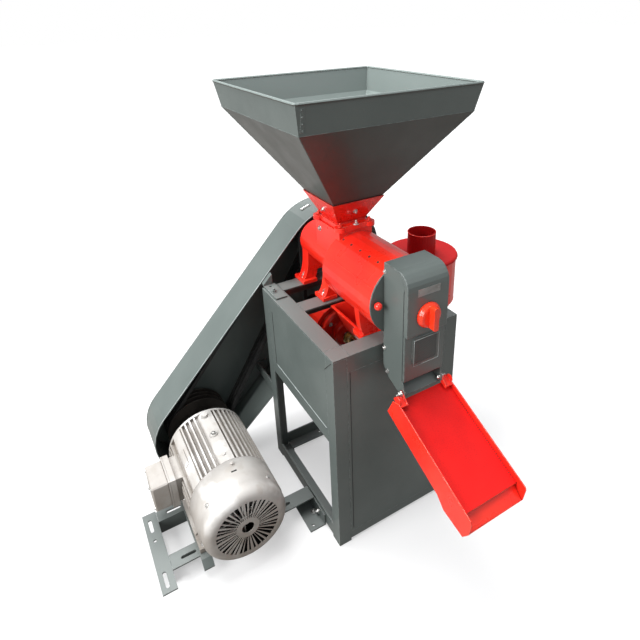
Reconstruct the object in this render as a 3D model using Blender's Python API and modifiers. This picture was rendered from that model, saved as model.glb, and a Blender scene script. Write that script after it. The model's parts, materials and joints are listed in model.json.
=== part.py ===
"""Rice huller: hopper, milling drum, discharge head, blower, dust cyclone and belt drive on a steel frame.

Metres, +Z up. The discharge head and the chute face -Y, the motor stands on the -X side and the belts
run at +Y. The origin is the bottom centre of the bounding box.
"""
import math

import bmesh
import bpy
from mathutils import Matrix, Vector

# Frame of steel angle; the drawing corner is its front left bottom corner
FRAME_W = 0.332
FRAME_D = 0.3667
FRAME_H = 0.550
RING_FLANGE = 0.041
LEG_FLANGE = 0.033
ANGLE_T = 0.004
PANEL_T = 0.0015
GAP = 0.0003
RAIL_LIFT = 0.008
FRONT_RAIL_H = 0.0225
LOW_RAIL_H = 0.037
MID_RAIL_Z = 0.310
CROSS_Y = 0.2067
CROSS_W = 0.0433
RAIL_SLOT_X = (0.085, 0.125)
RAIL_SLOT_DROP = (0.025, 0.015)
MILL_X = FRAME_W / 2
DRUM_Z = FRAME_H + 0.105

# Motor base
BASE_H = 0.0445
BASE_LEFT_X = -0.4006
BASE_BAR_W = 0.033
BASE_BAR_Y = (0.078, 0.3025)
BASE_FRONT_Y = (0.125, 0.165)
BASE_BACK_Y = (0.266, 0.298)
BASE_FOOT_W = 0.0437
BASE_FOOT_Y = (0.070, 0.170)
FOOT_HOLES = ((0.0147, 0.083), (0.0332, 0.118))
SLOT_W = 0.008
SLOT_Z = (0.030, 0.060)
BAR_SLOTS_Y = ((0.089, 0.131), (0.244, 0.283))
BAR_HOLE_Y = 0.219
RAIL_SLOTS_X = ((-0.344, -0.308), (-0.100, -0.064))
BASE_STRIP_X = (-0.3045, -0.2800)
BASE_STRIP_Y = 0.113
BASE_STRIP_DROP = 0.016

# Motor
MOTOR_X = -0.2015
MOTOR_SHAFT_H = 0.1015
MOTOR_R = 0.0920
FIN_R = 0.1008
FIN_COUNT = 48
MOTOR_Y = (0.166, 0.352)
STRIP_HALF_ANGLE = 9.0
PAD_ANGLES = (38.0, 62.0)
MOTOR_FEET_Y = (0.128, 0.298)
MOTOR_FEET_HALF = 0.100
MOTOR_SHAFT_R = 0.014
MOTOR_SHAFT_END = FRAME_D + 0.1123
COWL_FRONT_Y = 0.055
COWL_SEAM_Y = 0.0905
COWL_STEP = 0.002
COWL_T = 0.002
COWL_EDGE_R = 0.020
GRILLE_R = (0.024, 0.067)
GRILLE_SLOTS = 34
GRILLE_SLOT_W = 0.0030
GRILLE_EYE_R = 0.011
FAN_BLADES = 8
SHIELD_END_Y = 0.385
BOX_X = (-0.368, -0.3113)
BOX_SPLIT_X = -0.3250
BOX_Y = (0.230, 0.320)
BOX_Z = (0.107, 0.190)
BOX_LIP = 0.004

# Belt drive
BELT_PITCH = 0.015
BELT_COUNT = 3
BELT_W = 0.0092
BELT_T = 0.0090
MAIN_BELT_Y = FRAME_D + 0.0693
BLOWER_BELT_Y = FRAME_D + 0.0263
GROOVE_DEPTH = 0.011
GROOVE_TOP = 0.0134
GROOVE_FLOOR = 0.0098
PULLEY_EDGE = 0.010
MOTOR_PULLEY_R = 0.086
MILL_PULLEY_R = 0.043
BLOWER_PULLEY_R = 0.030
PULLEY_WEB_R = 0.062
PULLEY_HUB_R = 0.030
PULLEY_DISH = 0.008

# Belt guard: a trough between two end circles, open to the front
GUARD_LOW = (-0.2073, 0.1615)
GUARD_LOW_R = 0.1225
GUARD_TOP = (MILL_X + 0.0565, DRUM_Z - 0.0792)
GUARD_TOP_R = 0.147
GUARD_Y = (FRAME_D + 0.0133, FRAME_D + 0.1183)
GUARD_T = 0.002
GUARD_TAB_X = (0.005, 0.035)
GUARD_TAB_Y = FRAME_D - 0.0777
GUARD_HOLE = (0.014, 0.0107)
GUARD_LUG_TOP = FRAME_H + 0.031
GUARD_LUG_REACH = 0.024
STAY_W = 0.028
STAY_LEFT_Z = 0.215
STAY_RIGHT_Z = FRAME_H - 0.050

# Milling drum, about an axis along Y
DRUM_R = 0.083
DRUM_BORE_R = 0.074
DRUM_Y = (-0.009, 0.190)
NECK_R = 0.050
NECK_END_Y = FRAME_D + 0.0033
FEED_BORE_R = 0.036
DRUM_END_T = 0.006
BEARING_WALL = 0.060
SCREEN_INSET = 0.012
MILL_SHAFT_R = 0.015
MILL_SHAFT_END = FRAME_D + 0.1103
ROLLER_R = 0.030
SCREEN_R = 0.040
SCREEN_T = 0.0015
PORT_R = 0.0030
PORT_ANGLE = 26.5
PORT_YS = (0.028, 0.060, 0.095, 0.131, 0.165)
FOOT_HALF = 0.068
FOOT_PAD_T = 0.010
FOOT_REAR_Y = (FRAME_D - 0.0452, FRAME_D + 0.0083)
FOOT_MID_Y = (0.216, 0.260)
FOOT_FRONT_Y = (0.0427, 0.080)
FOOT_WEB = 0.016
FOOT_SPREAD = 0.92
FOOT_TOP_Z = -0.012
FOOT_SHARE = 0.42
FOOT_BOLT = 0.014
PAD_HOLE_R = 0.0035
PAD_MARGIN = 0.001
BRAN_SLOT = (0.040, 0.085, 0.180)

# Feed neck and hopper
FEED_Y = 0.2264
FLANGE_Z = DRUM_Z + 0.090
FLANGE_T = 0.012
FLANGE_HALF = (0.052, 0.064)
FLANGE_INSET = (0.012, 0.006)
FLANGE_EAR_R = 0.013
THROAT_HALF = (0.031, 0.040)
THROAT_OUTER = (0.044, 0.055)
THROAT_LOW = 0.0113
FEED_CUT_LOW = 0.0077
NECK_LOW = (0.037, 0.037)
NECK_TOP = (0.0672, 0.0720)
NECK_TOP_Z = FLANGE_Z + 0.072
NECK_T = 0.003
HOPPER_T = 0.0015
HOPPER_FOOT_Z = NECK_TOP_Z - 0.015
HOPPER_SEAT = (0.0638, 0.0686)
HOPPER_BAND_Z = NECK_TOP_Z + 0.191
HOPPER_BAND = 0.199
HOPPER_RIM_Z = HOPPER_BAND_Z + 0.056
HOPPER_RIM = (0.2085, 0.2112)
HOPPER_BEAD_R = 0.003

# Discharge head
HEAD_HALF = 0.050
HEAD_T = 0.002
DISC_Y = (-0.0125, -0.0093)
DISC_HOLE_R = 0.0385
HEAD_BACK_Y = -0.0128
HEAD_COVER_Y = -0.0910
HEAD_COVER_DEPTH = 0.012
HEAD_TOP_Z = DRUM_Z + 0.095
HEAD_TOP_R = 0.035
HEAD_SEAM_Z = DRUM_Z - 0.0405
HEAD_LOW_Y = -0.0850
HEAD_LOW_Z = DRUM_Z - 0.149
HEAD_EAR_Z = DRUM_Z - 0.1590
HEAD_HEEL = (-0.0320, DRUM_Z - 0.1690)
HEAD_BACK_LOW_Z = DRUM_Z - 0.140
DEFLECTOR_END = (-0.0795, DRUM_Z - 0.1885)
HEAD_EAR_R = 0.009
DEFLECTOR_T = 0.0028
WINDOW_X = (MILL_X - 0.0320, MILL_X + 0.0330)
WINDOW_Z = (DRUM_Z - 0.1150, DRUM_Z - 0.0500)
WINDOW_R = 0.010
WINDOW_W = 0.007
WINDOW_RISE = 0.0012
KNOB_R = 0.0275
KNOB_BASE = 0.012
KNOB_BAR = 0.014
KNOB_BAR_W = 0.012
KNOB_STEM_R = 0.005
CONE_R = 0.034
CONE_ROD_R = 0.004
CONE_Y = (-0.0185, 0.0020)
CONE_ROD_END = -0.0700
GUIDE_Y = -0.050
GUIDE_HALF = 0.018
BALL_R = 0.0085
BALL_POS = (MILL_X - 0.0696, -0.0215, DRUM_Z + 0.0051)
BALL_STEM_R = 0.003

# Chute, hung on two bolts and sloping to the front
CHUTE_PIVOT = (-0.0794, DRUM_Z - 0.1795)
CHUTE_SLOPE = 25.4
CHUTE_HALF = 0.070
CHUTE_WALL_TOP = 0.000
CHUTE_FLOOR = -0.0130
CHUTE_PAN = -0.0580
CHUTE_T = 0.0015
CHUTE_U = (0.0190, 0.2590)
CHUTE_SIEVE_END = 0.2425
CHUTE_LIP = (0.2720, -0.0330)
CHUTE_NOTCH_U = (0.186, 0.214)
CHUTE_NOTCH_DROP = 0.011
CHUTE_HEEL = 0.016
CHUTE_NOSE = 0.004
CHUTE_TAB_R = 0.0065
CHUTE_TAB_T = 0.0025
CHUTE_EAR = (0.012, 0.002)
CHUTE_EAR_R = 0.009
CHUTE_SHELF = (0.001, 0.026)
CHUTE_SHELF_V = (-0.001, -0.008)
CHUTE_MOUTH = -0.043
SIEVE_T = 0.0012
CHUTE_BOLT_R = 0.0025

# Blower, in the frame under the drum
BLOWER_X = MILL_X - 0.006
BLOWER_Z = DRUM_Z - 0.220
BLOWER_R = 0.072
BLOWER_Y = (0.2535, 0.3100)
BLOWER_T = 0.002
BLOWER_SAG = 0.006
BLOWER_FACE_Y = 0.235
BLOWER_FACE_R = 0.058
BLOWER_HUB_Y = 0.215
BLOWER_HUB_R = 0.033
BLOWER_SHAFT_R = 0.008
BLOWER_SHAFT_Y = (0.190, FRAME_D + 0.0343)
IMPELLER_R = 0.060
IMPELLER_BLADES = 6
BRAN_LOW_Z = FRAME_H - 0.075
BRAN_LOW_X = (MILL_X - 0.024, MILL_X + 0.024)
BRAN_TOP_HALF = 0.050
BRAN_LIP_HALF = 0.054
BRAN_LOW_Y = (0.100, 0.185)
BRAN_LIP = 0.008
BRAN_LIP_T = 0.003
BRAN_T = 0.002

# Air duct and cyclone
DUCT_X = (MILL_X + 0.0705, MILL_X + 0.1130)
DUCT_Y = (0.2620, 0.2930)
DUCT_RUN_Y = (0.2990, 0.3300)
DUCT_Z = (FRAME_H + 0.0030, FRAME_H + 0.0255)
DUCT_T = 0.0015
DUCT_SEAT = 0.002
CYCLONE_X = FRAME_W + 0.1026
CYCLONE_Y = 0.262
CYCLONE_R = 0.0960
CYCLONE_TOP_Z = FRAME_H + 0.0270
CYCLONE_BARREL_Z = FRAME_H - 0.105
CYCLONE_CONE_Z = FRAME_H - 0.215
CYCLONE_SPOUT_R = 0.038
CYCLONE_SPOUT_Z = FRAME_H - 0.250
CYCLONE_T = 0.002
LID_R = 0.1005
LID_DROP = 0.005
LID_TOP_Z = FRAME_H + 0.0310
PIPE_R = 0.0388
PIPE_TOP_Z = FRAME_H + 0.0931
PIPE_LOW_Z = FRAME_H - 0.030
BRACKET_Z = (FRAME_H - 0.052, FRAME_H - 0.012)
BRACKET_HALF = 0.024
BRACKET_ARM_HALF = 0.006

# Facets around a circle
ROUND = 32
ROUND_SMALL = 24

MOTOR_Z = BASE_H + MOTOR_SHAFT_H

GREY_ENAMEL = ("grey_enamel", (0.195, 0.225, 0.215), 0.30, 0.0)
RED_ENAMEL = ("red_enamel", (0.830, 0.020, 0.022), 0.28, 0.0)
MOTOR_PAINT = ("motor_paint", (0.700, 0.680, 0.650), 0.38, 0.0)
CAST_IRON = ("cast_iron", (0.070, 0.068, 0.066), 0.55, 0.8)
STEEL = ("bright_steel", (0.560, 0.550, 0.530), 0.30, 1.0)
BELT_RUBBER = ("belt_rubber", (0.020, 0.020, 0.020), 0.75, 0.0)
KNOB_PLASTIC = ("knob_plastic", (0.950, 0.055, 0.015), 0.22, 0.0)


def start_scene():
    """Empty the scene and make the collections and the parent of every sub-part."""
    for old in list(bpy.data.objects):
        bpy.data.objects.remove(old, do_unlink=True)
    parts = bpy.data.collections.new("rice_huller")
    tools = bpy.data.collections.new("cutters")
    bpy.context.scene.collection.children.link(parts)
    bpy.context.scene.collection.children.link(tools)
    base = bpy.data.objects.new("rice_huller_origin", None)
    parts.objects.link(base)
    half_width = (CYCLONE_X + LID_R - BASE_LEFT_X) / 2
    chute_tip = min(y for y, z in chute_side())
    half_depth = (GUARD_Y[1] - chute_tip) / 2
    base.location = (-(BASE_LEFT_X + half_width), -(chute_tip + half_depth), 0.0)
    return parts, tools, base


def chute_point(u, v):
    """Y and Z of a point u down the chute's slope and v above it, measured from the hinge bolts."""
    slope = math.radians(CHUTE_SLOPE)
    y = CHUTE_PIVOT[0] - u * math.cos(slope) - v * math.sin(slope)
    z = CHUTE_PIVOT[1] - u * math.sin(slope) + v * math.cos(slope)
    return y, z


def chute_side():
    """Side outline of the chute in Y and Z: grain trough above, bran pan below, a lip in front."""
    start, end = CHUTE_U
    notch0, notch1 = CHUTE_NOTCH_U
    drop = CHUTE_PAN - CHUTE_NOTCH_DROP
    side = [(start, CHUTE_WALL_TOP), (start - CHUTE_HEEL, CHUTE_WALL_TOP - CHUTE_HEEL * 0.9)]
    side += [(start - CHUTE_HEEL, CHUTE_PAN), (notch0, CHUTE_PAN), (notch1, drop)]
    side += [(CHUTE_LIP[0] - CHUTE_NOSE, CHUTE_PAN), CHUTE_LIP]
    side += [(end + CHUTE_NOSE, CHUTE_WALL_TOP - CHUTE_NOSE), (end, CHUTE_WALL_TOP)]
    return [chute_point(u, v) for u, v in side]


PARTS, CUTTERS, ORIGIN = start_scene()


def material(spec):
    """The Principled material of one colour, made once."""
    name, colour, roughness, metallic = spec
    if name in bpy.data.materials:
        return bpy.data.materials[name]
    made = bpy.data.materials.new(name)
    made.use_nodes = True
    shader = made.node_tree.nodes["Principled BSDF"]
    shader.inputs["Base Color"].default_value = (*colour, 1.0)
    shader.inputs["Roughness"].default_value = roughness
    shader.inputs["Metallic"].default_value = metallic
    made.diffuse_color = (*colour, 1.0)
    return made


def place(name, mesh):
    """A new object among the sub-parts."""
    made = bpy.data.objects.new(name, mesh)
    PARTS.objects.link(made)
    made.parent = ORIGIN
    return made


def box(name, low, high):
    """A cuboid between two corners."""
    shape = bmesh.new()
    bmesh.ops.create_cube(shape, size=1.0)
    size = [top - bottom for bottom, top in zip(low, high)]
    middle = [(top + bottom) / 2 for bottom, top in zip(low, high)]
    bmesh.ops.scale(shape, vec=size, verts=shape.verts)
    bmesh.ops.translate(shape, vec=middle, verts=shape.verts)
    mesh = bpy.data.meshes.new(name)
    shape.to_mesh(mesh)
    shape.free()
    return place(name, mesh)


def cylinder(name, centre, radius, low, high, axis="Y", sides=ROUND_SMALL, top_radius=None):
    """A cylinder or a cone between two heights; the centre is given in the plane across the axis."""
    shape = bmesh.new()
    top_radius = radius if top_radius is None else top_radius
    depth = high - low
    radii = {"radius1": radius, "radius2": top_radius}
    bmesh.ops.create_cone(shape, cap_ends=True, segments=sides, depth=depth, **radii)
    right = math.pi / 2
    turn = {"X": Matrix.Rotation(right, 4, "Y"), "Y": Matrix.Rotation(-right, 4, "X"), "Z": Matrix()}
    middle = (low + high) / 2
    spot = {"X": (middle, *centre), "Y": (centre[0], middle, centre[1]), "Z": (*centre, middle)}
    bmesh.ops.transform(shape, matrix=Matrix.Translation(spot[axis]) @ turn[axis], verts=shape.verts)
    mesh = bpy.data.meshes.new(name)
    shape.to_mesh(mesh)
    shape.free()
    return place(name, mesh)


def prism(name, outlines, low, high, plane="XZ"):
    """Flat outlines (an inner one is a hole) drawn as a filled curve and extruded from low to high."""
    curve = bpy.data.curves.new(name, "CURVE")
    curve.dimensions = "2D"
    curve.fill_mode = "BOTH"
    curve.extrude = (high - low) / 2
    for points in outlines:
        spline = curve.splines.new("POLY")
        spline.points.add(len(points) - 1)
        for point, (across, up) in zip(spline.points, points):
            point.co = (across, up, 0.0, 1.0)
        spline.use_cyclic_u = True
    drawn = bpy.data.objects.new(name + "_outline", curve)
    PARTS.objects.link(drawn)
    bpy.context.view_layer.update()
    evaluated = drawn.evaluated_get(bpy.context.evaluated_depsgraph_get())
    mesh = bpy.data.meshes.new_from_object(evaluated)
    bpy.data.objects.remove(drawn, do_unlink=True)
    middle = (low + high) / 2
    if plane == "XZ":
        turn = Matrix.Translation((0.0, middle, 0.0)) @ Matrix.Rotation(math.pi / 2, 4, "X")
    elif plane == "YZ":
        swap = Matrix(((0, 0, 1, 0), (1, 0, 0, 0), (0, 1, 0, 0), (0, 0, 0, 1)))
        turn = Matrix.Translation((middle, 0.0, 0.0)) @ swap
    else:
        turn = Matrix.Translation((0.0, 0.0, middle))
    shape = bmesh.new()
    shape.from_mesh(mesh)
    bmesh.ops.remove_doubles(shape, verts=shape.verts, dist=0.00001)
    bmesh.ops.transform(shape, matrix=turn, verts=shape.verts)
    bmesh.ops.recalc_face_normals(shape, faces=shape.faces)
    shape.to_mesh(mesh)
    shape.free()
    mesh.name = name
    return place(name, mesh)


def turned(name, profile, centre, axis="Y", sides=ROUND, closed=False):
    """A profile of (radius, height) points, outer side running down, turned about an axis."""
    mesh = bpy.data.meshes.new(name)
    links = [(i, i + 1) for i in range(len(profile) - 1)]
    if closed:
        links.append((len(profile) - 1, 0))
    mesh.from_pydata([(radius, 0.0, height) for radius, height in profile], links, [])
    made = place(name, mesh)
    screw = made.modifiers.new("turn", "SCREW")
    screw.steps = sides
    screw.render_steps = sides
    screw.use_merge_vertices = True
    screw.merge_threshold = 0.00001
    if axis == "Y":
        made.location = (centre[0], 0.0, centre[1])
        made.rotation_euler = (-math.pi / 2, 0.0, 0.0)
    else:
        made.location = (centre[0], centre[1], 0.0)
    return made


def loft(name, rings):
    """Rectangular sections (low x, high x, low y, high y, z) joined from the lowest to the highest."""
    shape = bmesh.new()
    loops = []
    for x0, x1, y0, y1, z in rings:
        corners = ((x0, y0), (x1, y0), (x1, y1), (x0, y1))
        loops.append([shape.verts.new((x, y, z)) for x, y in corners])
    for below, above in zip(loops, loops[1:]):
        for i in range(4):
            j = (i + 1) % 4
            shape.faces.new((below[i], below[j], above[j], above[i]))
    shape.faces.new(list(reversed(loops[0])))
    shape.faces.new(loops[-1])
    mesh = bpy.data.meshes.new(name)
    shape.to_mesh(mesh)
    shape.free()
    return place(name, mesh)


def centred(half, y, z, shrink=0.0):
    """A loft section about the mill's centre line, its half sizes less a wall."""
    return MILL_X - half[0] + shrink, MILL_X + half[0] - shrink, y - half[1] + shrink, y + half[1] - shrink, z


def work(target, tools, operation):
    """Boolean modifiers that join tools to a sub-part or cut them from it."""
    for tool in tools:
        PARTS.objects.unlink(tool)
        CUTTERS.objects.link(tool)
        tool.hide_render = True
        tool.display_type = "WIRE"
        step = target.modifiers.new(operation.lower(), "BOOLEAN")
        step.object = tool
        step.operation = operation
        step.solver = "EXACT"
    return target


def join(target, *tools):
    """Fuse tools into a sub-part."""
    return work(target, tools, "UNION")


def cut(target, *tools):
    """Take tools away from a sub-part."""
    return work(target, tools, "DIFFERENCE")


def paint(made, spec):
    """Give a sub-part its own copy of a material."""
    made.data.materials.clear()
    made.data.materials.append(material((made.name + "_" + spec[0], *spec[1:])))
    return made


def pivot(made, spot):
    """Move a sub-part's origin to its joint axis, with its shape left where it is."""
    shift = Vector(spot) - made.location
    turn = made.rotation_euler.to_matrix().to_4x4()
    made.data.transform(Matrix.Translation(-(turn.inverted() @ shift)))
    made.location = spot
    return made


def soften(made, width, angle=40.0):
    """Small rounded edges."""
    step = made.modifiers.new("edge", "BEVEL")
    step.width = width
    step.segments = 1
    step.limit_method = "ANGLE"
    step.angle_limit = math.radians(angle)
    return made


def arc(centre, radius, start, end, steps):
    """Points along an arc, in degrees."""
    points = []
    for i in range(steps + 1):
        angle = math.radians(start + (end - start) * i / steps)
        points.append((centre[0] + radius * math.cos(angle), centre[1] + radius * math.sin(angle)))
    return points


def bend(start, middle, end, steps):
    """Points along a quadratic curve, without its first one."""
    points = []
    for i in range(1, steps + 1):
        t = i / steps
        first, second, third = (1 - t) ** 2, 2 * t * (1 - t), t * t
        points.append(tuple(first * a + second * b + third * c for a, b, c in zip(start, middle, end)))
    return points


def round_rectangle(x0, x1, z0, z1, radius, steps=4):
    """A rectangle's outline with round corners."""
    points = arc((x1 - radius, z1 - radius), radius, 0, 90, steps)
    points += arc((x0 + radius, z1 - radius), radius, 90, 180, steps)
    points += arc((x0 + radius, z0 + radius), radius, 180, 270, steps)
    points += arc((x1 - radius, z0 + radius), radius, 270, 360, steps)
    return points


def slot(name, x0, x1, y0, y1, low, high, plane="XY"):
    """A cutter for a slot with round ends, along its longer side."""
    radius = min(x1 - x0, y1 - y0) / 2 * 0.999
    return prism(name, [round_rectangle(x0, x1, y0, y1, radius, 3)], low, high, plane)


def hull(low, low_radius, top, top_radius, steps=14):
    """The outline round two circles, as a belt or a belt guard takes it."""
    run = Vector(top) - Vector(low)
    heading = math.degrees(math.atan2(run.y, run.x))
    lean = math.degrees(math.asin((top_radius - low_radius) / run.length))
    side = 90.0 + lean
    points = arc(top, top_radius, heading - side, heading + side, steps)
    points += arc(low, low_radius, heading + side, heading + 360.0 - side, steps)
    return points


def angle_bar(name, low, high, faces):
    """An angle iron in a box; faces says which sides of the box carry its two flanges."""
    bar = box(name, low, high)
    hollow_low = [a + ANGLE_T if face < 0 else a - 1 for a, face in zip(low, faces)]
    hollow_high = [b - ANGLE_T if face > 0 else b + 1 for b, face in zip(high, faces)]
    cut(bar, box(name + "_hollow", hollow_low, hollow_high))
    return bar


def make_legs():
    """Four legs of angle iron, up to the ring's top flange."""
    top = FRAME_H - ANGLE_T - GAP
    for side, x0, x_face in (("left", 0.0, -1), ("right", FRAME_W - LEG_FLANGE, 1)):
        for end, y0, y_face in (("front", 0.0, -1), ("back", FRAME_D - LEG_FLANGE, 1)):
            name = f"leg_{end}_{side}"
            leg = angle_bar(name, (x0, y0, 0.0), (x0 + LEG_FLANGE, y0 + LEG_FLANGE, top), (x_face, y_face, 0))
            paint(leg, GREY_ENAMEL)


def make_ring():
    """The top ring of angle iron and the cross rail that carries the drum's middle feet."""
    low = FRAME_H - RING_FLANGE
    under = FRAME_H - ANGLE_T
    inset = LEG_FLANGE + GAP
    for end, y0, face in (("front", 0.0, -1), ("back", FRAME_D - RING_FLANGE, 1)):
        rail_high = (FRAME_W, y0 + RING_FLANGE, FRAME_H)
        rail = angle_bar(f"rail_top_{end}", (0.0, y0, low), rail_high, (0, face, 1))
        cut(rail, box(f"rail_top_{end}_notch_left", (-1, y0 - 1, low - 1), (inset, y0 + 1, under)))
        notch_low = (FRAME_W - inset, y0 - 1, low - 1)
        cut(rail, box(f"rail_top_{end}_notch_right", notch_low, (FRAME_W + 1, y0 + 1, under)))
        if end == "back":
            low_z, high_z = (FRAME_H - drop for drop in RAIL_SLOT_DROP)
            cut(rail, slot("rail_slot", *RAIL_SLOT_X, low_z, high_z, FRAME_D - 0.01, FRAME_D + 0.01, "XZ"))
        paint(rail, GREY_ENAMEL)
    y0 = RING_FLANGE + GAP
    y1 = FRAME_D - RING_FLANGE - GAP
    shift = PANEL_T + GAP
    for side, x0, face in (("left", 0.0, -1), ("right", FRAME_W - RING_FLANGE, 1)):
        x1 = x0 + RING_FLANGE
        rail = box(f"rail_top_{side}", (x0, y0, under), (x1, y1, FRAME_H))
        web_x = x0 + shift if face < 0 else x1 - shift - ANGLE_T
        join(rail, box(f"rail_top_{side}_web", (web_x, y0, low), (web_x + ANGLE_T, y1, under + ANGLE_T / 2)))
        paint(rail, GREY_ENAMEL)
    x0 = RING_FLANGE + GAP
    cross_high = (FRAME_W - x0, CROSS_Y + CROSS_W, FRAME_H)
    paint(angle_bar("rail_top_cross", (x0, CROSS_Y, low), cross_high, (0, 1, 1)), GREY_ENAMEL)


def make_low_rails():
    """Bottom rails all round, and the rails under the side panels."""
    inset = LEG_FLANGE + GAP
    low = RAIL_LIFT
    x1 = FRAME_W - inset
    y1 = FRAME_D - inset
    front_high = (x1, LEG_FLANGE, low + FRONT_RAIL_H)
    paint(angle_bar("rail_bottom_front", (inset, 0.0, low), front_high, (0, -1, -1)), GREY_ENAMEL)
    back_high = (x1, FRAME_D, low + LOW_RAIL_H)
    back = angle_bar("rail_bottom_back", (inset, FRAME_D - LEG_FLANGE, low), back_high, (0, 1, -1))
    hole_y = FRAME_D - LEG_FLANGE / 2
    cut(back, cylinder("rail_bottom_hole", (FRAME_W * 0.4, hole_y), PAD_HOLE_R, 0.0, LOW_RAIL_H, "Z", 12))
    paint(back, GREY_ENAMEL)
    mid_top = MID_RAIL_Z + LOW_RAIL_H
    for side, x0, face in (("left", 0.0, -1), ("right", FRAME_W - LEG_FLANGE, 1)):
        x_end = x0 + LEG_FLANGE
        bottom_high = (x_end, y1, low + LOW_RAIL_H)
        bottom = angle_bar(f"rail_bottom_{side}", (x0, inset, low), bottom_high, (face, 0, -1))
        paint(bottom, GREY_ENAMEL)
        middle = angle_bar(f"rail_mid_{side}", (x0, inset, MID_RAIL_Z), (x_end, y1, mid_top), (face, 0, 1))
        paint(middle, GREY_ENAMEL)


def make_panels():
    """Sheet panels between the legs: the whole front and the upper part of each side."""
    inset = LEG_FLANGE + GAP
    low = RAIL_LIFT + FRONT_RAIL_H + GAP
    front = box("panel_front", (inset, 0.0, low), (FRAME_W - inset, PANEL_T, FRAME_H - RING_FLANGE - GAP))
    paint(front, GREY_ENAMEL)
    side_low = MID_RAIL_Z + LOW_RAIL_H + GAP
    side_top = FRAME_H - ANGLE_T - GAP
    for side, x0 in (("left", 0.0), ("right", FRAME_W - PANEL_T)):
        panel = box(f"panel_{side}", (x0, inset, side_low), (x0 + PANEL_T, FRAME_D - inset, side_top))
        paint(panel, GREY_ENAMEL)


def make_motor_base():
    """The slotted base beside the frame that the motor stands on."""
    left_end = BASE_LEFT_X + BASE_BAR_W
    y0, y1 = BASE_BAR_Y
    front_y0, front_y1 = BASE_FRONT_Y
    back_y0, back_y1 = BASE_BACK_Y
    bar = angle_bar("base_bar_left", (BASE_LEFT_X, y0, 0.0), (left_end, y1, BASE_H), (1, 0, 1))
    notch_low = (BASE_LEFT_X + ANGLE_T, y0 - 1, -1.0)
    cut(bar, box("bar_notch", notch_low, (left_end + 1, front_y0, BASE_H - ANGLE_T)))
    middle = BASE_LEFT_X + (BASE_BAR_W - ANGLE_T) / 2
    half = SLOT_W / 2
    for number, (start, end) in enumerate(BAR_SLOTS_Y):
        cut(bar, slot(f"bar_slot_{number}", middle - half, middle + half, start, end, *SLOT_Z))
    cut(bar, cylinder("bar_hole", (middle, BAR_HOLE_Y), half, *SLOT_Z, "Z", 12))
    paint(bar, GREY_ENAMEL)
    foot_x = -GAP - BASE_FOOT_W
    foot_low = (foot_x, BASE_FOOT_Y[0], 0.0)
    foot = angle_bar("base_bar_right", foot_low, (-GAP, BASE_FOOT_Y[1], LOW_RAIL_H), (1, 0, -1))
    for number, (reach, y) in enumerate(FOOT_HOLES):
        cut(foot, cylinder(f"foot_hole_{number}", (foot_x + reach, y), PAD_HOLE_R, -0.01, 0.01, "Z", 12))
    paint(foot, GREY_ENAMEL)
    x0 = left_end + GAP
    z0 = ANGLE_T + GAP
    front_high = (-GAP - ANGLE_T - GAP, front_y1, BASE_H)
    front = angle_bar("base_rail_front", (x0, front_y0, z0), front_high, (0, 1, 1))
    join(front, *base_strip(front_y0, front_y1, back_y0))
    cut(front, *rail_slots("front", RAIL_SLOTS_X, (front_y0 + front_y1 - ANGLE_T) / 2))
    paint(front, GREY_ENAMEL)
    back_high = (MOTOR_X + MOTOR_FEET_HALF, back_y1, BASE_H)
    back = angle_bar("base_rail_back", (x0, back_y0, z0), back_high, (0, -1, 1))
    cut(back, *rail_slots("back", RAIL_SLOTS_X[:1], (back_y0 + back_y1 + ANGLE_T) / 2))
    paint(back, GREY_ENAMEL)


def rail_slots(end, spans, middle):
    """Cutters for the long slots in a base rail's top."""
    half = SLOT_W / 2
    return [slot(f"rail_slot_{end}_{number}", *span, middle - half, middle + half, *SLOT_Z)
            for number, span in enumerate(spans)]


def base_strip(front_y, back_y, far_rail_y):
    """A strip through the base: bent down in front of the front rail, flat behind it up to the back rail."""
    x0, x1 = BASE_STRIP_X
    top = BASE_H - GAP
    low = top - ANGLE_T
    end = front_y + ANGLE_T / 2
    tip = BASE_STRIP_Y - BASE_STRIP_DROP
    side = [(end, top), (BASE_STRIP_Y, top), (tip, top - BASE_STRIP_DROP), (tip, low - BASE_STRIP_DROP)]
    side += [(BASE_STRIP_Y, low), (end, low)]
    front = prism("base_strip_front", [side], x0, x1, "YZ")
    return front, box("base_strip_back", (x0, back_y - ANGLE_T / 2, low), (x1, far_rail_y - GAP, top))


def fin_outline():
    """Cross section of the motor's frame: fins all round, a flat strip on top and a smooth pad."""
    points = []
    step = 360.0 / FIN_COUNT
    for i in range(FIN_COUNT):
        angle = 90.0 + i * step
        from_top = abs((i * step + 180.0) % 360.0 - 180.0)
        smooth = from_top < STRIP_HALF_ANGLE or PAD_ANGLES[0] < i * step < PAD_ANGLES[1]
        rib = ((-0.50, MOTOR_R), (-0.16, MOTOR_R), (-0.16, FIN_R), (0.16, FIN_R), (0.16, MOTOR_R))
        for offset, radius in rib:
            if smooth and abs(offset) < 0.4:
                continue
            reach = FIN_R if smooth else radius
            turn = math.radians(angle + offset * step)
            points.append((MOTOR_X + reach * math.cos(turn), MOTOR_Z + reach * math.sin(turn)))
    return points


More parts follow.
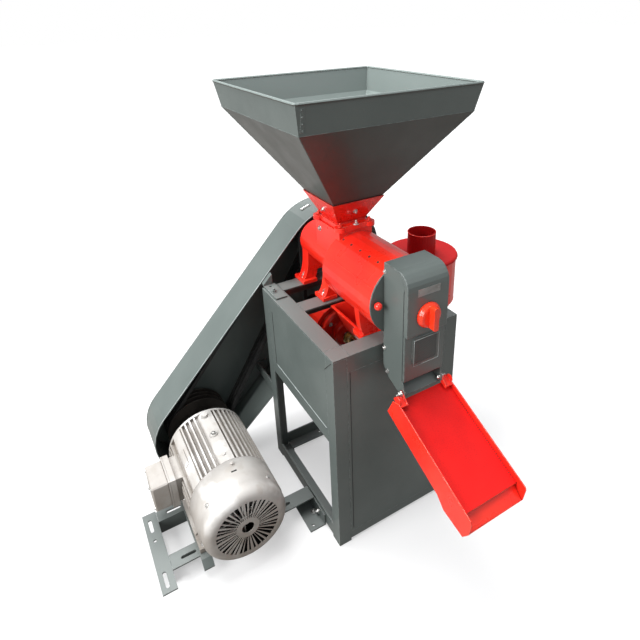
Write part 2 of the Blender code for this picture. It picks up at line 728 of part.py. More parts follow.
def make_motor_housing():
    """The finned motor frame with its feet and the neck of the terminal box."""
    y0, y1 = MOTOR_Y
    body = prism("motor_housing", [fin_outline()], y0, y1)
    half = MOTOR_FEET_HALF
    low = -MOTOR_SHAFT_H + GAP
    side = [(-half, low), (-half * 0.6, low), (-half * 0.52, low + 0.012), (half * 0.52, low + 0.012)]
    side += [(half * 0.6, low), (half, low), (half, low + 0.013), (half * 0.75, -half * 0.6)]
    side += [(-half * 0.75, -half * 0.6), (-half, low + 0.013)]
    outline = [(MOTOR_X + x, MOTOR_Z + z) for x, z in side]
    feet = prism("motor_feet", [outline], MOTOR_FEET_Y[0] + 0.042, MOTOR_FEET_Y[1])
    pads = [box(f"motor_toe_{i}", (MOTOR_X + s * half * 0.8 - half * 0.2, MOTOR_FEET_Y[0], BASE_H + GAP),
                (MOTOR_X + s * half * 0.8 + half * 0.2, MOTOR_FEET_Y[0] + 0.05, BASE_H + 0.013))
            for i, s in enumerate((-1, 1))]
    neck = box("motor_neck", (BOX_X[1] + GAP, BOX_Y[0] + 0.006, BOX_Z[0] + 0.006),
               (MOTOR_X - MOTOR_R * 0.8, BOX_Y[1] - 0.006, BOX_Z[1] - 0.006))
    join(body, feet, *pads, neck)
    cut(body, cylinder("motor_bore", (MOTOR_X, MOTOR_Z), MOTOR_SHAFT_R + GAP, y0 - 1, y1 + 1, "Y"))
    paint(body, MOTOR_PAINT)


def make_end_shield():
    """The cast shield at the drive end, with its bearing boss."""
    y0 = MOTOR_Y[1] + GAP
    bore = MOTOR_SHAFT_R + GAP
    profile = [(bore, SHIELD_END_Y), (0.033, SHIELD_END_Y), (0.036, SHIELD_END_Y - 0.003)]
    profile.append((0.038, y0 + 0.018))
    profile += [(MOTOR_R - 0.012, y0 + 0.012), (FIN_R, y0 + 0.007), (FIN_R, y0), (bore, y0)]
    paint(turned("motor_end_shield", profile, (MOTOR_X, MOTOR_Z), closed=True), MOTOR_PAINT)


def make_cowl():
    """The fan cowl: a pressed shell with radial slots round an eye."""
    outer = FIN_R
    inner = FIN_R - COWL_STEP
    start = MOTOR_Y[0] - GAP
    profile = [(outer, start), (outer, COWL_SEAM_Y + COWL_STEP), (inner, COWL_SEAM_Y)]
    centre = (inner - COWL_EDGE_R, COWL_FRONT_Y + COWL_EDGE_R)
    profile += arc(centre, COWL_EDGE_R, 0, -90, 4)
    profile += [(0.0, COWL_FRONT_Y)]
    cowl = turned("motor_fan_cowl", profile, (MOTOR_X, MOTOR_Z))
    wall = cowl.modifiers.new("wall", "SOLIDIFY")
    wall.thickness = COWL_T
    wall.offset = -1.0
    rays = bmesh.new()
    length = GRILLE_R[1] - GRILLE_R[0]
    for i in range(GRILLE_SLOTS):
        made = bmesh.ops.create_cube(rays, size=1.0)["verts"]
        bmesh.ops.scale(rays, vec=(length, 0.02, GRILLE_SLOT_W), verts=made)
        bmesh.ops.translate(rays, vec=(GRILLE_R[0] + length / 2, COWL_FRONT_Y, 0.0), verts=made)
        turn = Matrix.Rotation(2 * math.pi * i / GRILLE_SLOTS, 4, "Y")
        bmesh.ops.rotate(rays, cent=(0, 0, 0), matrix=turn.to_3x3(), verts=made)
    bmesh.ops.translate(rays, vec=(MOTOR_X, 0.0, MOTOR_Z), verts=rays.verts)
    mesh = bpy.data.meshes.new("grille_slots")
    rays.to_mesh(mesh)
    rays.free()
    eye = cylinder("grille_eye", (MOTOR_X, MOTOR_Z), GRILLE_EYE_R, COWL_FRONT_Y - 0.01, COWL_FRONT_Y + 0.01)
    cut(cowl, place("grille_slots", mesh), eye)
    paint(cowl, MOTOR_PAINT)


def make_terminal_box():
    """The terminal box on the motor's left side: a base, its gland and a deep lid."""
    y0, y1 = BOX_Y
    z0, z1 = BOX_Z
    base = box("terminal_box", (BOX_SPLIT_X + GAP, y0, z0), (BOX_X[1], y1, z1))
    gland_x = (BOX_SPLIT_X + BOX_X[1]) / 2
    gland = cylinder("terminal_gland", (gland_x, y0 + 0.03), 0.006, z0 - 0.012, z0 + 0.004, "Z", 12)
    join(base, gland)
    paint(base, MOTOR_PAINT)
    lid_high = (BOX_SPLIT_X - 0.002, y1 - BOX_LIP, z1 - BOX_LIP)
    lid = box("terminal_lid", (BOX_X[0], y0 + BOX_LIP, z0 + BOX_LIP), lid_high)
    soften(lid, 0.003)
    join(lid, box("terminal_rim", (BOX_SPLIT_X - 0.004, y0, z0), (BOX_SPLIT_X, y1, z1)))
    paint(lid, MOTOR_PAINT)


def make_motor_rotor():
    """The motor's shaft with its cooling fan behind the grille."""
    axis = (MOTOR_X, MOTOR_Z)
    shaft = cylinder("motor_rotor", axis, MOTOR_SHAFT_R, COWL_FRONT_Y + 0.020, MOTOR_SHAFT_END)
    fan_y = COWL_FRONT_Y + 0.030
    reach = FIN_R - COWL_STEP - COWL_T - 0.009
    disc = cylinder("fan_disc", axis, reach * 0.72, fan_y + 0.036, fan_y + 0.040, "Y", ROUND_SMALL)
    join(shaft, disc)
    for i in range(FAN_BLADES):
        blade = box(f"fan_blade_{i}", (0.008, fan_y, -0.0015), (reach, fan_y + 0.038, 0.0015))
        turn = Matrix.Rotation(2 * math.pi * i / FAN_BLADES, 4, "Y")
        blade.data.transform(Matrix.Translation((MOTOR_X, 0.0, MOTOR_Z)) @ turn)
        join(shaft, blade)
    pivot(paint(shaft, STEEL), (MOTOR_X, 0.0, MOTOR_Z))


def grooves(radius, centres):
    """Points down the rim of a pulley past its belt grooves, from high to low."""
    points = []
    for y in sorted(centres, reverse=True):
        points += [(radius, y + GROOVE_TOP / 2), (radius - GROOVE_DEPTH, y + GROOVE_FLOOR / 2)]
        points += [(radius - GROOVE_DEPTH, y - GROOVE_FLOOR / 2), (radius, y - GROOVE_TOP / 2)]
    return points


def belt_ys():
    """The middle of each main belt."""
    return [MAIN_BELT_Y + BELT_PITCH * i for i in range(BELT_COUNT)]


def make_pulleys():
    """The three pulleys: on the motor, on the mill (with the blower's groove in front) and on the blower."""
    mains = belt_ys()
    low = mains[0] - PULLEY_EDGE
    high = mains[-1] + PULLEY_EDGE
    bore = MOTOR_SHAFT_R + GAP
    rim = [(bore, high), (MOTOR_PULLEY_R, high)] + grooves(MOTOR_PULLEY_R, mains) + [(MOTOR_PULLEY_R, low)]
    rim += [(PULLEY_WEB_R, low), (PULLEY_WEB_R - 0.004, low + PULLEY_DISH), (PULLEY_HUB_R, low + PULLEY_DISH)]
    rim += [(PULLEY_HUB_R, low), (bore, low)]
    motor = turned("motor_pulley", rim, (MOTOR_X, MOTOR_Z), closed=True)
    pivot(paint(motor, CAST_IRON), (MOTOR_X, 0.0, MOTOR_Z))
    bore = MILL_SHAFT_R + GAP
    first = BLOWER_BELT_Y - BELT_PITCH * 0.6
    rim = [(bore, high), (MILL_PULLEY_R, high)] + grooves(MILL_PULLEY_R, mains + [BLOWER_BELT_Y])
    rim += [(MILL_PULLEY_R, first), (bore, first)]
    mill = turned("mill_pulley", rim, (MILL_X, DRUM_Z), sides=ROUND_SMALL, closed=True)
    pivot(paint(mill, CAST_IRON), (MILL_X, 0.0, DRUM_Z))
    bore = BLOWER_SHAFT_R + GAP
    rim = [(bore, BLOWER_BELT_Y + BELT_PITCH * 0.6), (BLOWER_PULLEY_R, BLOWER_BELT_Y + BELT_PITCH * 0.6)]
    rim += grooves(BLOWER_PULLEY_R, [BLOWER_BELT_Y]) + [(BLOWER_PULLEY_R, first), (bore, first)]
    blower = turned("blower_pulley", rim, (BLOWER_X, BLOWER_Z), sides=ROUND_SMALL, closed=True)
    pivot(paint(blower, CAST_IRON), (BLOWER_X, 0.0, BLOWER_Z))


def belt(name, low, low_radius, top, top_radius, y):
    """A belt loop seated in the grooves of two pulleys."""
    proud = 0.0005
    outer = hull(low, low_radius + proud, top, top_radius + proud)
    inner = hull(low, low_radius + proud - BELT_T, top, top_radius + proud - BELT_T)
    paint(prism(name, [outer, inner], y - BELT_W / 2, y + BELT_W / 2), BELT_RUBBER)


def make_belts():
    """The main belts and the blower's belt."""
    motor = (MOTOR_X, MOTOR_Z)
    mill = (MILL_X, DRUM_Z)
    for number, y in enumerate(belt_ys(), 1):
        belt(f"belt_main_{number}", motor, MOTOR_PULLEY_R, mill, MILL_PULLEY_R, y)
    belt("belt_blower", (BLOWER_X, BLOWER_Z), BLOWER_PULLEY_R, mill, MILL_PULLEY_R, BLOWER_BELT_Y)


def make_guard():
    """The belt guard: a tapered trough with a closed back, open towards the machine."""
    y0, y1 = GUARD_Y
    shell = prism("guard_shell", [hull(GUARD_LOW, GUARD_LOW_R, GUARD_TOP, GUARD_TOP_R)], y0, y1)
    inside = hull(GUARD_LOW, GUARD_LOW_R - GUARD_T, GUARD_TOP, GUARD_TOP_R - GUARD_T)
    cut(shell, prism("guard_inside", [inside], y0 - 1, y1 - GUARD_T))
    paint(shell, GREY_ENAMEL)


def make_guard_mounts():
    """The bracket on the ring's corner and two stays that carry the guard."""
    x0, x1 = GUARD_TAB_X
    top = FRAME_H + GAP
    back = FRAME_D + GAP
    bracket = box("guard_bracket", (x0, GUARD_TAB_Y, top), (x1, back, top + ANGLE_T))
    spot = (x0 + GUARD_HOLE[0], FRAME_D - GUARD_HOLE[1])
    cut(bracket, cylinder("bracket_hole", spot, PAD_HOLE_R, top - 0.01, top + 0.01, "Z", 12))
    upright = box("bracket_upright", (x0, back - GAP, top), (x1 - 0.006, back + ANGLE_T, GUARD_LUG_TOP))
    run = Vector(GUARD_TOP) - Vector(GUARD_LOW)
    lean = math.asin((GUARD_TOP_R - GUARD_LOW_R) / run.length)
    heading = math.atan2(run.y, run.x) + lean
    normal = Vector((-math.sin(heading), math.cos(heading)))
    seat = Vector(GUARD_TOP) + normal * (GUARD_TOP_R - GUARD_T - GAP)
    trim = box("bracket_trim", (-1.0, FRAME_D - 1.0, 0.0), (1.0, FRAME_D + 1.0, 1.0))
    lug = box("bracket_lug", (-1.0, back + ANGLE_T / 2, -ANGLE_T), (1.0, GUARD_Y[0] + GUARD_LUG_REACH, 0.0))
    tilt = Matrix.Translation((seat.x, 0.0, seat.y)) @ Matrix.Rotation(-heading, 4, "Y")
    lug.data.transform(tilt)
    trim.data.transform(tilt)
    keep = box("bracket_lug_ends", (x0, FRAME_D - 0.01, 0.4), (x1 - 0.006, GUARD_Y[1], 0.8))
    work(lug, [keep], "INTERSECT")
    cut(upright, trim)
    join(bracket, upright, lug)
    paint(bracket, GREY_ENAMEL)
    end = GUARD_Y[1] - GUARD_T - GAP
    for side, x, z in (("left", 0.002, STAY_LEFT_Z), ("right", FRAME_W - 0.002 - STAY_W, STAY_RIGHT_Z)):
        stay = box(f"guard_stay_{side}", (x, back, z), (x + STAY_W, back + ANGLE_T, z + STAY_W))
        arm = box(f"stay_arm_{side}", (x, back, z), (x + ANGLE_T, end, z + STAY_W))
        toe = box(f"stay_toe_{side}", (x, end - ANGLE_T, z), (x + STAY_W, end, z + STAY_W))
        join(stay, arm, toe)
        paint(stay, GREY_ENAMEL)


def foot_outline(top_x, top_z, low):
    """Section of a pair of feet: concave webs from the body down to the pads."""
    half = FOOT_HALF - PAD_MARGIN
    pad = low + FOOT_PAD_T
    low = low + PAD_MARGIN / 2
    points = [(-top_x, top_z)]
    points += bend((-top_x, top_z), (-top_x * 0.98, pad * 0.86), (-half + 0.006, pad), 5)
    points += [(-half, pad - 0.002), (-half, low), (-half * FOOT_SHARE, low), (-half * 0.30, low * 0.72)]
    points += [(-x, z) for x, z in reversed(points)]
    return [(MILL_X + x, DRUM_Z + z) for x, z in points]


def foot_pad_x(side):
    """The inner and outer X of one side's foot pad, in rising order."""
    return sorted((MILL_X + side * FOOT_HALF * FOOT_SHARE, MILL_X + side * FOOT_HALF))


def make_drum():
    """The cast drum with its rear neck, feed throat, feet, ports and bores."""
    axis = (MILL_X, DRUM_Z)
    y0, y1 = DRUM_Y
    edge = 0.004
    profile = [(0.0, NECK_END_Y), (NECK_R - edge, NECK_END_Y), (NECK_R, NECK_END_Y - edge)]
    profile += [(NECK_R, y1 + edge * 3), (NECK_R + edge, y1 + edge), (DRUM_R - edge, y1), (DRUM_R, y1 - edge)]
    profile += [(DRUM_R, y0), (0.0, y0)]
    drum = turned("drum_housing", profile, axis)
    low = FRAME_H + GAP - DRUM_Z
    for name, (start, end) in (("rear", FOOT_REAR_Y), ("middle", FOOT_MID_Y)):
        centre = (start + end) / 2
        outline = foot_outline(NECK_R * FOOT_SPREAD, FOOT_TOP_Z, low)
        join(drum, prism(f"drum_web_{name}", [outline], centre - FOOT_WEB, centre + FOOT_WEB))
        for side in (-1, 1):
            inner, outer = foot_pad_x(side)
            top = DRUM_Z + low + FOOT_PAD_T - 0.001
            join(drum, box(f"drum_pad_{name}_{side}", (inner, start, DRUM_Z + low), (outer, end, top)))
            spot = (MILL_X + side * (FOOT_HALF - FOOT_BOLT), centre)
            hole = cylinder(f"drum_pad_hole_{name}_{side}", spot, PAD_HOLE_R, top - 0.02, top + 0.02, "Z", 12)
            cut(drum, hole)
    front_low = low - BRAN_LIP
    outline = foot_outline(DRUM_R * 0.90, -0.020, front_low)
    join(drum, prism("drum_web_front", [outline], FOOT_FRONT_Y[0] + 0.003, FOOT_FRONT_Y[0] + 0.020))
    for side in (-1, 1):
        inner, outer = foot_pad_x(side)
        pad_low = DRUM_Z + front_low
        pad_high = (outer, FOOT_FRONT_Y[1], pad_low + 0.008)
        join(drum, box(f"drum_pad_front_{side}", (inner, FOOT_FRONT_Y[0], pad_low), pad_high))
    half_x, half_y = THROAT_OUTER
    throat_low = (MILL_X - half_x, FEED_Y - half_y, DRUM_Z + THROAT_LOW)
    join(drum, box("drum_throat", throat_low, (MILL_X + half_x, FEED_Y + half_y, FLANGE_Z - GAP)))
    end = y1 - DRUM_END_T
    bore = [(0.0, end), (DRUM_BORE_R, end), (DRUM_BORE_R, y0 - 0.01), (0.0, y0 - 0.01)]
    cut(drum, turned("drum_bore", bore, axis))
    cut(drum, cylinder("feed_bore", axis, FEED_BORE_R, y1 - 0.03, NECK_END_Y - BEARING_WALL, "Y"))
    cut(drum, cylinder("bearing_bore", axis, MILL_SHAFT_R + GAP, y1, NECK_END_Y + 0.01, "Y"))
    feed = centred(THROAT_HALF, FEED_Y, 0.0)
    feed_y0 = max(feed[2], y1 + 0.004)
    cut(drum, box("feed_cut", (feed[0], feed_y0, DRUM_Z + FEED_CUT_LOW), (feed[1], feed[3], FLANGE_Z + 0.01)))
    slot_half, slot_y0, slot_y1 = BRAN_SLOT
    slot_low = (MILL_X - slot_half, slot_y0, DRUM_Z - DRUM_R - 0.02)
    cut(drum, box("bran_cut", slot_low, (MILL_X + slot_half, slot_y1, DRUM_Z - 0.05)))
    turn = math.radians(PORT_ANGLE)
    for number, y in enumerate(PORT_YS):
        port = cylinder(f"drum_port_{number}", (0.0, 0.0), PORT_R, DRUM_R * 0.7, DRUM_R * 1.2, "Z", 10)
        port.data.transform(Matrix.Translation((MILL_X, y, DRUM_Z)) @ Matrix.Rotation(-turn, 4, "Y"))
        cut(drum, port)
    paint(drum, RED_ENAMEL)


def make_mill_inside():
    """The screen that lines the drum and the roller on its shaft."""
    axis = (MILL_X, DRUM_Z)
    y0, y1 = DRUM_Y
    screen_end = y1 - DRUM_END_T - GAP
    inner = SCREEN_R - SCREEN_T
    profile = [(inner, screen_end), (DRUM_BORE_R - GAP, screen_end), (DRUM_BORE_R - GAP, screen_end - 0.003)]
    start = y0 + SCREEN_INSET
    profile += [(SCREEN_R, screen_end - 0.003), (SCREEN_R, start), (inner, start)]
    paint(turned("mill_screen", profile, axis, closed=True), STEEL)
    shaft = cylinder("mill_rotor", axis, MILL_SHAFT_R, y0 + SCREEN_INSET + 0.008, MILL_SHAFT_END)
    near, far = y0 + SCREEN_INSET + 0.010, NECK_END_Y - BEARING_WALL - 0.003
    roller = [(0.0, far), (ROLLER_R, far), (ROLLER_R, near), (0.0, near)]
    join(shaft, turned("mill_roller", roller, axis, sides=ROUND_SMALL))
    pivot(paint(shaft, STEEL), (MILL_X, 0.0, DRUM_Z))


def make_feed_neck():
    """The cast neck between the drum and the hopper: an eared flange under a square funnel."""
    half_x, half_y = FLANGE_HALF
    x0, x1 = MILL_X - half_x, MILL_X + half_x
    y0, y1 = FEED_Y - half_y, FEED_Y + half_y
    ear = FLANGE_EAR_R
    inset_x, inset_y = FLANGE_INSET
    plan = round_rectangle(x0 + inset_x, x1 - inset_x, y0 + inset_y, y1 - inset_y, ear / 2)
    flange = prism("feed_neck", [plan], FLANGE_Z, FLANGE_Z + FLANGE_T, "XY")
    ears = ((x0 + ear, y0 + ear), (x1 - ear, y0 + ear), (x0 + ear, y1 - ear), (x1 - ear, y1 - ear))
    for number, spot in enumerate(ears):
        ear_high = FLANGE_Z + FLANGE_T - 0.001
        join(flange, cylinder(f"neck_ear_{number}", spot, ear, FLANGE_Z + 0.0005, ear_high, "Z", 20))
    top = FLANGE_Z + FLANGE_T
    rings = [centred(NECK_LOW, FEED_Y, FLANGE_Z + 0.002), centred(NECK_LOW, FEED_Y, top + 0.002)]
    join(flange, loft("neck_funnel", rings + [centred(NECK_TOP, FEED_Y, NECK_TOP_Z)]))
    inside = [centred(NECK_LOW, FEED_Y, z, NECK_T) for z in (FLANGE_Z - 0.01, top + 0.002)]
    cut(flange, loft("neck_inside", inside + [centred(NECK_TOP, FEED_Y, NECK_TOP_Z + 0.0001, NECK_T)]))
    for number, spot in enumerate(ears):
        cut(flange, cylinder(f"neck_hole_{number}", spot, PAD_HOLE_R, FLANGE_Z - 0.01, top + 0.01, "Z", 12))
    paint(flange, RED_ENAMEL)


def make_hopper():
    """The sheet hopper: a square cone, an upright band and a rolled bead round the rim."""
    seat_z = NECK_TOP_Z
    lift = (seat_z - HOPPER_FOOT_Z) / (HOPPER_BAND_Z - seat_z)
    foot = tuple(seat - (HOPPER_BAND - seat) * lift for seat in HOPPER_SEAT)
    band = (HOPPER_BAND, HOPPER_BAND)
    rings = [centred(foot, FEED_Y, HOPPER_FOOT_Z), centred(band, FEED_Y, HOPPER_BAND_Z)]
    rings.append(centred(HOPPER_RIM, FEED_Y, HOPPER_RIM_Z))
    hopper = loft("hopper", rings)
    slant = HOPPER_T * 1.22
    inside = [centred(foot, FEED_Y, HOPPER_FOOT_Z, slant), centred(band, FEED_Y, HOPPER_BAND_Z, slant)]
    inside.append(centred(HOPPER_RIM, FEED_Y, HOPPER_RIM_Z, slant))
    inside[0] = (*inside[0][:4], HOPPER_FOOT_Z - 0.0001)
    inside[-1] = (*inside[-1][:4], HOPPER_RIM_Z + 0.0001)
    cut(hopper, loft("hopper_inside", inside))
    join(hopper, bead())
    paint(hopper, GREY_ENAMEL)


def bead():
    """The rolled bead as a closed tube round the hopper's rim."""
    curve = bpy.data.curves.new("hopper_bead", "CURVE")
    curve.dimensions = "3D"
    curve.bevel_depth = HOPPER_BEAD_R
    curve.bevel_resolution = 1
    spline = curve.splines.new("POLY")
    x, y = HOPPER_RIM
    corners = round_rectangle(MILL_X - x, MILL_X + x, FEED_Y - y, FEED_Y + y, 0.006, 2)
    spline.points.add(len(corners) - 1)
    for point, (across, along) in zip(spline.points, corners):
        point.co = (across, along, HOPPER_RIM_Z, 1.0)
    spline.use_cyclic_u = True
    drawn = bpy.data.objects.new("hopper_bead_curve", curve)
    PARTS.objects.link(drawn)
    bpy.context.view_layer.update()
    mesh = bpy.data.meshes.new_from_object(drawn.evaluated_get(bpy.context.evaluated_depsgraph_get()))
    bpy.data.objects.remove(drawn, do_unlink=True)
    shape = bmesh.new()
    shape.from_mesh(mesh)
    bmesh.ops.remove_doubles(shape, verts=shape.verts, dist=0.00001)
    bmesh.ops.recalc_face_normals(shape, faces=shape.faces)
    shape.to_mesh(mesh)
    shape.free()
    return place("hopper_bead", mesh)


def make_end_disc():
    """The grey disc that closes the drum's front round the outlet."""
    axis = (MILL_X, DRUM_Z)
    y0, y1 = DISC_Y
    profile = [(DISC_HOLE_R, y1), (DRUM_R, y1), (DRUM_R, y0), (DISC_HOLE_R, y0)]
    disc = turned("end_disc", profile, axis, closed=True)
    spot = (BALL_POS[0], BALL_POS[2])
    cut(disc, cylinder("disc_knob_hole", spot, BALL_STEM_R + GAP, y0 - 0.01, y1 + 0.01, "Y", 16))
    paint(disc, GREY_ENAMEL)


def make_ball_knob():
    """The red ball knob of the disc's locking screw."""
    shape = bmesh.new()
    bmesh.ops.create_uvsphere(shape, u_segments=16, v_segments=10, radius=BALL_R)
    bmesh.ops.translate(shape, vec=BALL_POS, verts=shape.verts)
    mesh = bpy.data.meshes.new("ball_knob")
    shape.to_mesh(mesh)
    shape.free()
    ball = place("ball_knob", mesh)
    x, y, z = BALL_POS
    join(ball, cylinder("ball_stem", (x, z), BALL_STEM_R, y + 0.002, DISC_Y[1] - 0.0005, "Y", 16))
    pivot(paint(ball, RED_ENAMEL), BALL_POS)


def side_outline():
    """Outline of the head's side plates, in Y and Z, with the ears that carry the chute."""
    gap = HEAD_T + GAP
    front = HEAD_COVER_Y + HEAD_COVER_DEPTH
    top = HEAD_TOP_Z - gap
    radius = HEAD_TOP_R - HEAD_COVER_DEPTH
    points = [(HEAD_BACK_Y, HEAD_LOW_Z + HEAD_T), (HEAD_BACK_Y, top)]
    points += arc((front + radius, top - radius), radius, 90, 180, 5)
    points += [(front, HEAD_LOW_Z - HEAD_T), (HEAD_LOW_Y + HEAD_T, HEAD_EAR_Z)]
    points += arc(CHUTE_PIVOT, HEAD_EAR_R, 160, 300, 6)
    points.append(HEAD_HEEL)
    return points


def make_head_chassis():
    """The head's side plates, back plate, rod guide and sloping deflector."""
    x0 = MILL_X - HEAD_HALF
    x1 = MILL_X + HEAD_HALF
    lap = HEAD_T / 2
    chassis = prism("head_chassis", [side_outline()], x0, x0 + HEAD_T, "YZ")
    right = prism("chassis_right", [side_outline()], x1 - HEAD_T, x1, "YZ")
    back_low = (x0 + lap, HEAD_BACK_Y - HEAD_T, HEAD_BACK_LOW_Z)
    back = box("chassis_back", back_low, (x1 - lap, HEAD_BACK_Y, HEAD_TOP_Z - HEAD_T * 3))
    guide_low = (x0 + lap, GUIDE_Y, DRUM_Z - GUIDE_HALF)
    guide = box("chassis_guide", guide_low, (x1 - lap, GUIDE_Y + ANGLE_T, DRUM_Z + GUIDE_HALF))
    end_y, end_z = DEFLECTOR_END
    start_y = HEAD_BACK_Y - GAP * 2
    slope = [(start_y, HEAD_BACK_LOW_Z + HEAD_T), (start_y, HEAD_BACK_LOW_Z - lap)]
    slope += [(end_y, end_z - DEFLECTOR_T), (end_y, end_z)]
    deflector = prism("chassis_deflector", [slope], x0 + lap, x1 - lap, "YZ")
    join(chassis, right, back, guide, deflector)
    axis = (MILL_X, DRUM_Z)
    cut(chassis, cylinder("chassis_outlet", axis, DISC_HOLE_R, HEAD_BACK_Y - 0.01, HEAD_BACK_Y + 0.01, "Y"))
    cut(chassis, cylinder("guide_hole", axis, CONE_ROD_R + GAP, GUIDE_Y - 0.01, GUIDE_Y + 0.01, "Y", 16))
    for x in (x0, x1):
        cut(chassis, cylinder("ear_hole", CHUTE_PIVOT, CHUTE_BOLT_R, x - 0.01, x + 0.01, "X", 12))
    paint(chassis, GREY_ENAMEL)


def cover_outline():
    """Outer side of the upper cover in Y and Z, from the back down to the seam."""
    centre = (HEAD_COVER_Y + HEAD_TOP_R, HEAD_TOP_Z - HEAD_TOP_R)
    return [(HEAD_BACK_Y, HEAD_TOP_Z)] + arc(centre, HEAD_TOP_R, 90, 180, 6) + [(HEAD_COVER_Y, HEAD_SEAM_Z)]


def make_upper_cover():
    """The pressed upper cover over the head's top and front."""
    x0 = MILL_X - HEAD_HALF
    x1 = MILL_X + HEAD_HALF
    edge = HEAD_COVER_Y + HEAD_COVER_DEPTH - GAP
    roof = HEAD_TOP_Z - HEAD_T
    radius = HEAD_TOP_R - HEAD_COVER_DEPTH + GAP
    under = [(edge, HEAD_SEAM_Z)] + arc((edge + radius, roof - radius), radius, 180, 90, 5)
    under.append((HEAD_BACK_Y, roof))
    cover = prism("head_upper_cover", [cover_outline() + under], x0, x1, "YZ")
    skin = HEAD_COVER_Y + HEAD_T
    low = HEAD_SEAM_Z - HEAD_COVER_DEPTH
    centre = (HEAD_COVER_Y + HEAD_TOP_R, HEAD_TOP_Z - HEAD_TOP_R)
    inner = edge + GAP * 3
    pocket = [(skin, low), (inner, low), (inner, roof - radius), (edge + radius, roof + GAP * 2)]
    pocket += [(centre[0], roof + GAP * 2)] + arc(centre, HEAD_TOP_R - HEAD_T, 90, 180, 6)[1:]
    cut(cover, prism("cover_pocket", [pocket], x0 + HEAD_T, x1 - HEAD_T, "YZ"))
    near, far = HEAD_COVER_Y - 0.01, HEAD_COVER_Y + 0.01
    cut(cover, cylinder("cover_knob_hole", (MILL_X, DRUM_Z), KNOB_STEM_R + GAP, near, far, "Y", 16))
    soften(cover, 0.0008)
    paint(cover, GREY_ENAMEL)


def make_lower_cover():
    """The lower cover with its raised window frame."""
    x0 = MILL_X - HEAD_HALF
    x1 = MILL_X + HEAD_HALF
    t = HEAD_T
    top = HEAD_SEAM_Z - GAP
    edge = HEAD_COVER_Y + HEAD_COVER_DEPTH - GAP
    cover = box("head_lower_cover", (x0, HEAD_LOW_Y, HEAD_LOW_Z), (x1, edge, top))
    cut(cover, box("low_pocket", (x0 + t, HEAD_LOW_Y + t, HEAD_LOW_Z + t), (x1 - t, edge + 1, top - t)))
    left, right = WINDOW_X
    low, high = WINDOW_Z
    w = WINDOW_W
    inner = round_rectangle(left + w, right - w, low + w, high - w, WINDOW_R / 2)
    outline = [round_rectangle(left, right, low, high, WINDOW_R), inner]
    join(cover, prism("window_frame", outline, HEAD_LOW_Y - WINDOW_RISE, HEAD_LOW_Y + t / 2))
    paint(cover, GREY_ENAMEL)


def make_pressure_knob():
    """The rotary knob on the head's front: a round base, a finger bar and a stem."""
    axis = (MILL_X, DRUM_Z)
    face = HEAD_COVER_Y - GAP
    base = face - KNOB_BASE
    profile = [(0.0, face), (KNOB_R, face), (KNOB_R, face - 0.004)]
    profile += [(KNOB_R - 0.004, base + 0.001), (KNOB_R - 0.008, base)]
    profile += [(0.0, base)]
    knob = turned("pressure_knob", profile, axis, sides=36)
    half_w, half_h = KNOB_BAR_W / 2, KNOB_R - 0.002
    plan = round_rectangle(MILL_X - half_w, MILL_X + half_w, DRUM_Z - half_h, DRUM_Z + half_h, 0.004)
    bar = prism("knob_bar", [plan], base - KNOB_BAR, base + 0.002)
    stem = cylinder("knob_stem", axis, KNOB_STEM_R, face - 0.002, HEAD_COVER_Y + 0.014, "Y", 16)
    join(knob, bar, stem)
    pivot(paint(knob, KNOB_PLASTIC), (MILL_X, HEAD_COVER_Y, DRUM_Z))


def make_outlet_cone():
    """The pressure cone in the drum's outlet, on the rod that the knob moves."""
    axis = (MILL_X, DRUM_Z)
    y0, y1 = CONE_Y
    profile = [(0.0, y1), (CONE_R * 0.55, y1), (CONE_R, y0 + 0.003), (CONE_R, y0), (CONE_ROD_R, y0 - 0.001)]
    profile += [(CONE_ROD_R, CONE_ROD_END), (0.0, CONE_ROD_END)]
    cone = turned("outlet_cone", profile, axis, sides=ROUND_SMALL)
    pivot(paint(cone, STEEL), (MILL_X, 0.0, DRUM_Z))


def make_chute():
    """The red chute: a sheet trough with a bran pan under its floor, hung on two small ears."""
    x0 = MILL_X - CHUTE_HALF
    x1 = MILL_X + CHUTE_HALF
    start, end = CHUTE_U
    heel = start - CHUTE_HEEL
    notch0, notch1 = CHUTE_NOTCH_U
    lip_u, lip_v = CHUTE_LIP
    pan = CHUTE_PAN + CHUTE_T
    above = CHUTE_WALL_TOP + 0.05
    tray = prism("chute_tray", [chute_side()], x0, x1, "YZ")
    behind = start - 0.05
    inner = [(behind, above), (behind, CHUTE_MOUTH), (heel + 0.002, CHUTE_MOUTH), (heel + 0.002, pan)]
    inner += [(notch0, pan), (notch1, pan - CHUTE_NOTCH_DROP), (lip_u - CHUTE_NOSE * 1.5, pan)]
    inner += [(lip_u - 0.0025, lip_v - 0.002), (lip_u + 0.01, lip_v + 0.001), (end + 0.02, above)]
    hollow = [chute_point(u, v) for u, v in inner]
    cut(tray, prism("chute_hollow", [hollow], x0 + CHUTE_T, x1 - CHUTE_T, "YZ"))
    for side in (-1, 1):
        join(tray, *chute_tab(side))
    for side, x in (("left", MILL_X - HEAD_HALF), ("right", MILL_X + HEAD_HALF)):
        hole = cylinder(f"chute_hole_{side}", CHUTE_PIVOT, CHUTE_BOLT_R, x - 0.006, x + 0.006, "X", 12)
        cut(tray, hole)
    pivot(paint(tray, RED_ENAMEL), (MILL_X, *CHUTE_PIVOT))
    under = CHUTE_FLOOR - SIEVE_T
    back = start - 0.010
    floor = [(back, CHUTE_FLOOR), (back, under), (CHUTE_SIEVE_END, under), (CHUTE_SIEVE_END, CHUTE_FLOOR)]
    inset = CHUTE_T + GAP
    sieve = prism("chute_sieve", [[chute_point(u, v) for u, v in floor]], x0 + inset, x1 - inset, "YZ")
    pivot(paint(sieve, RED_ENAMEL), (MILL_X, *CHUTE_PIVOT))


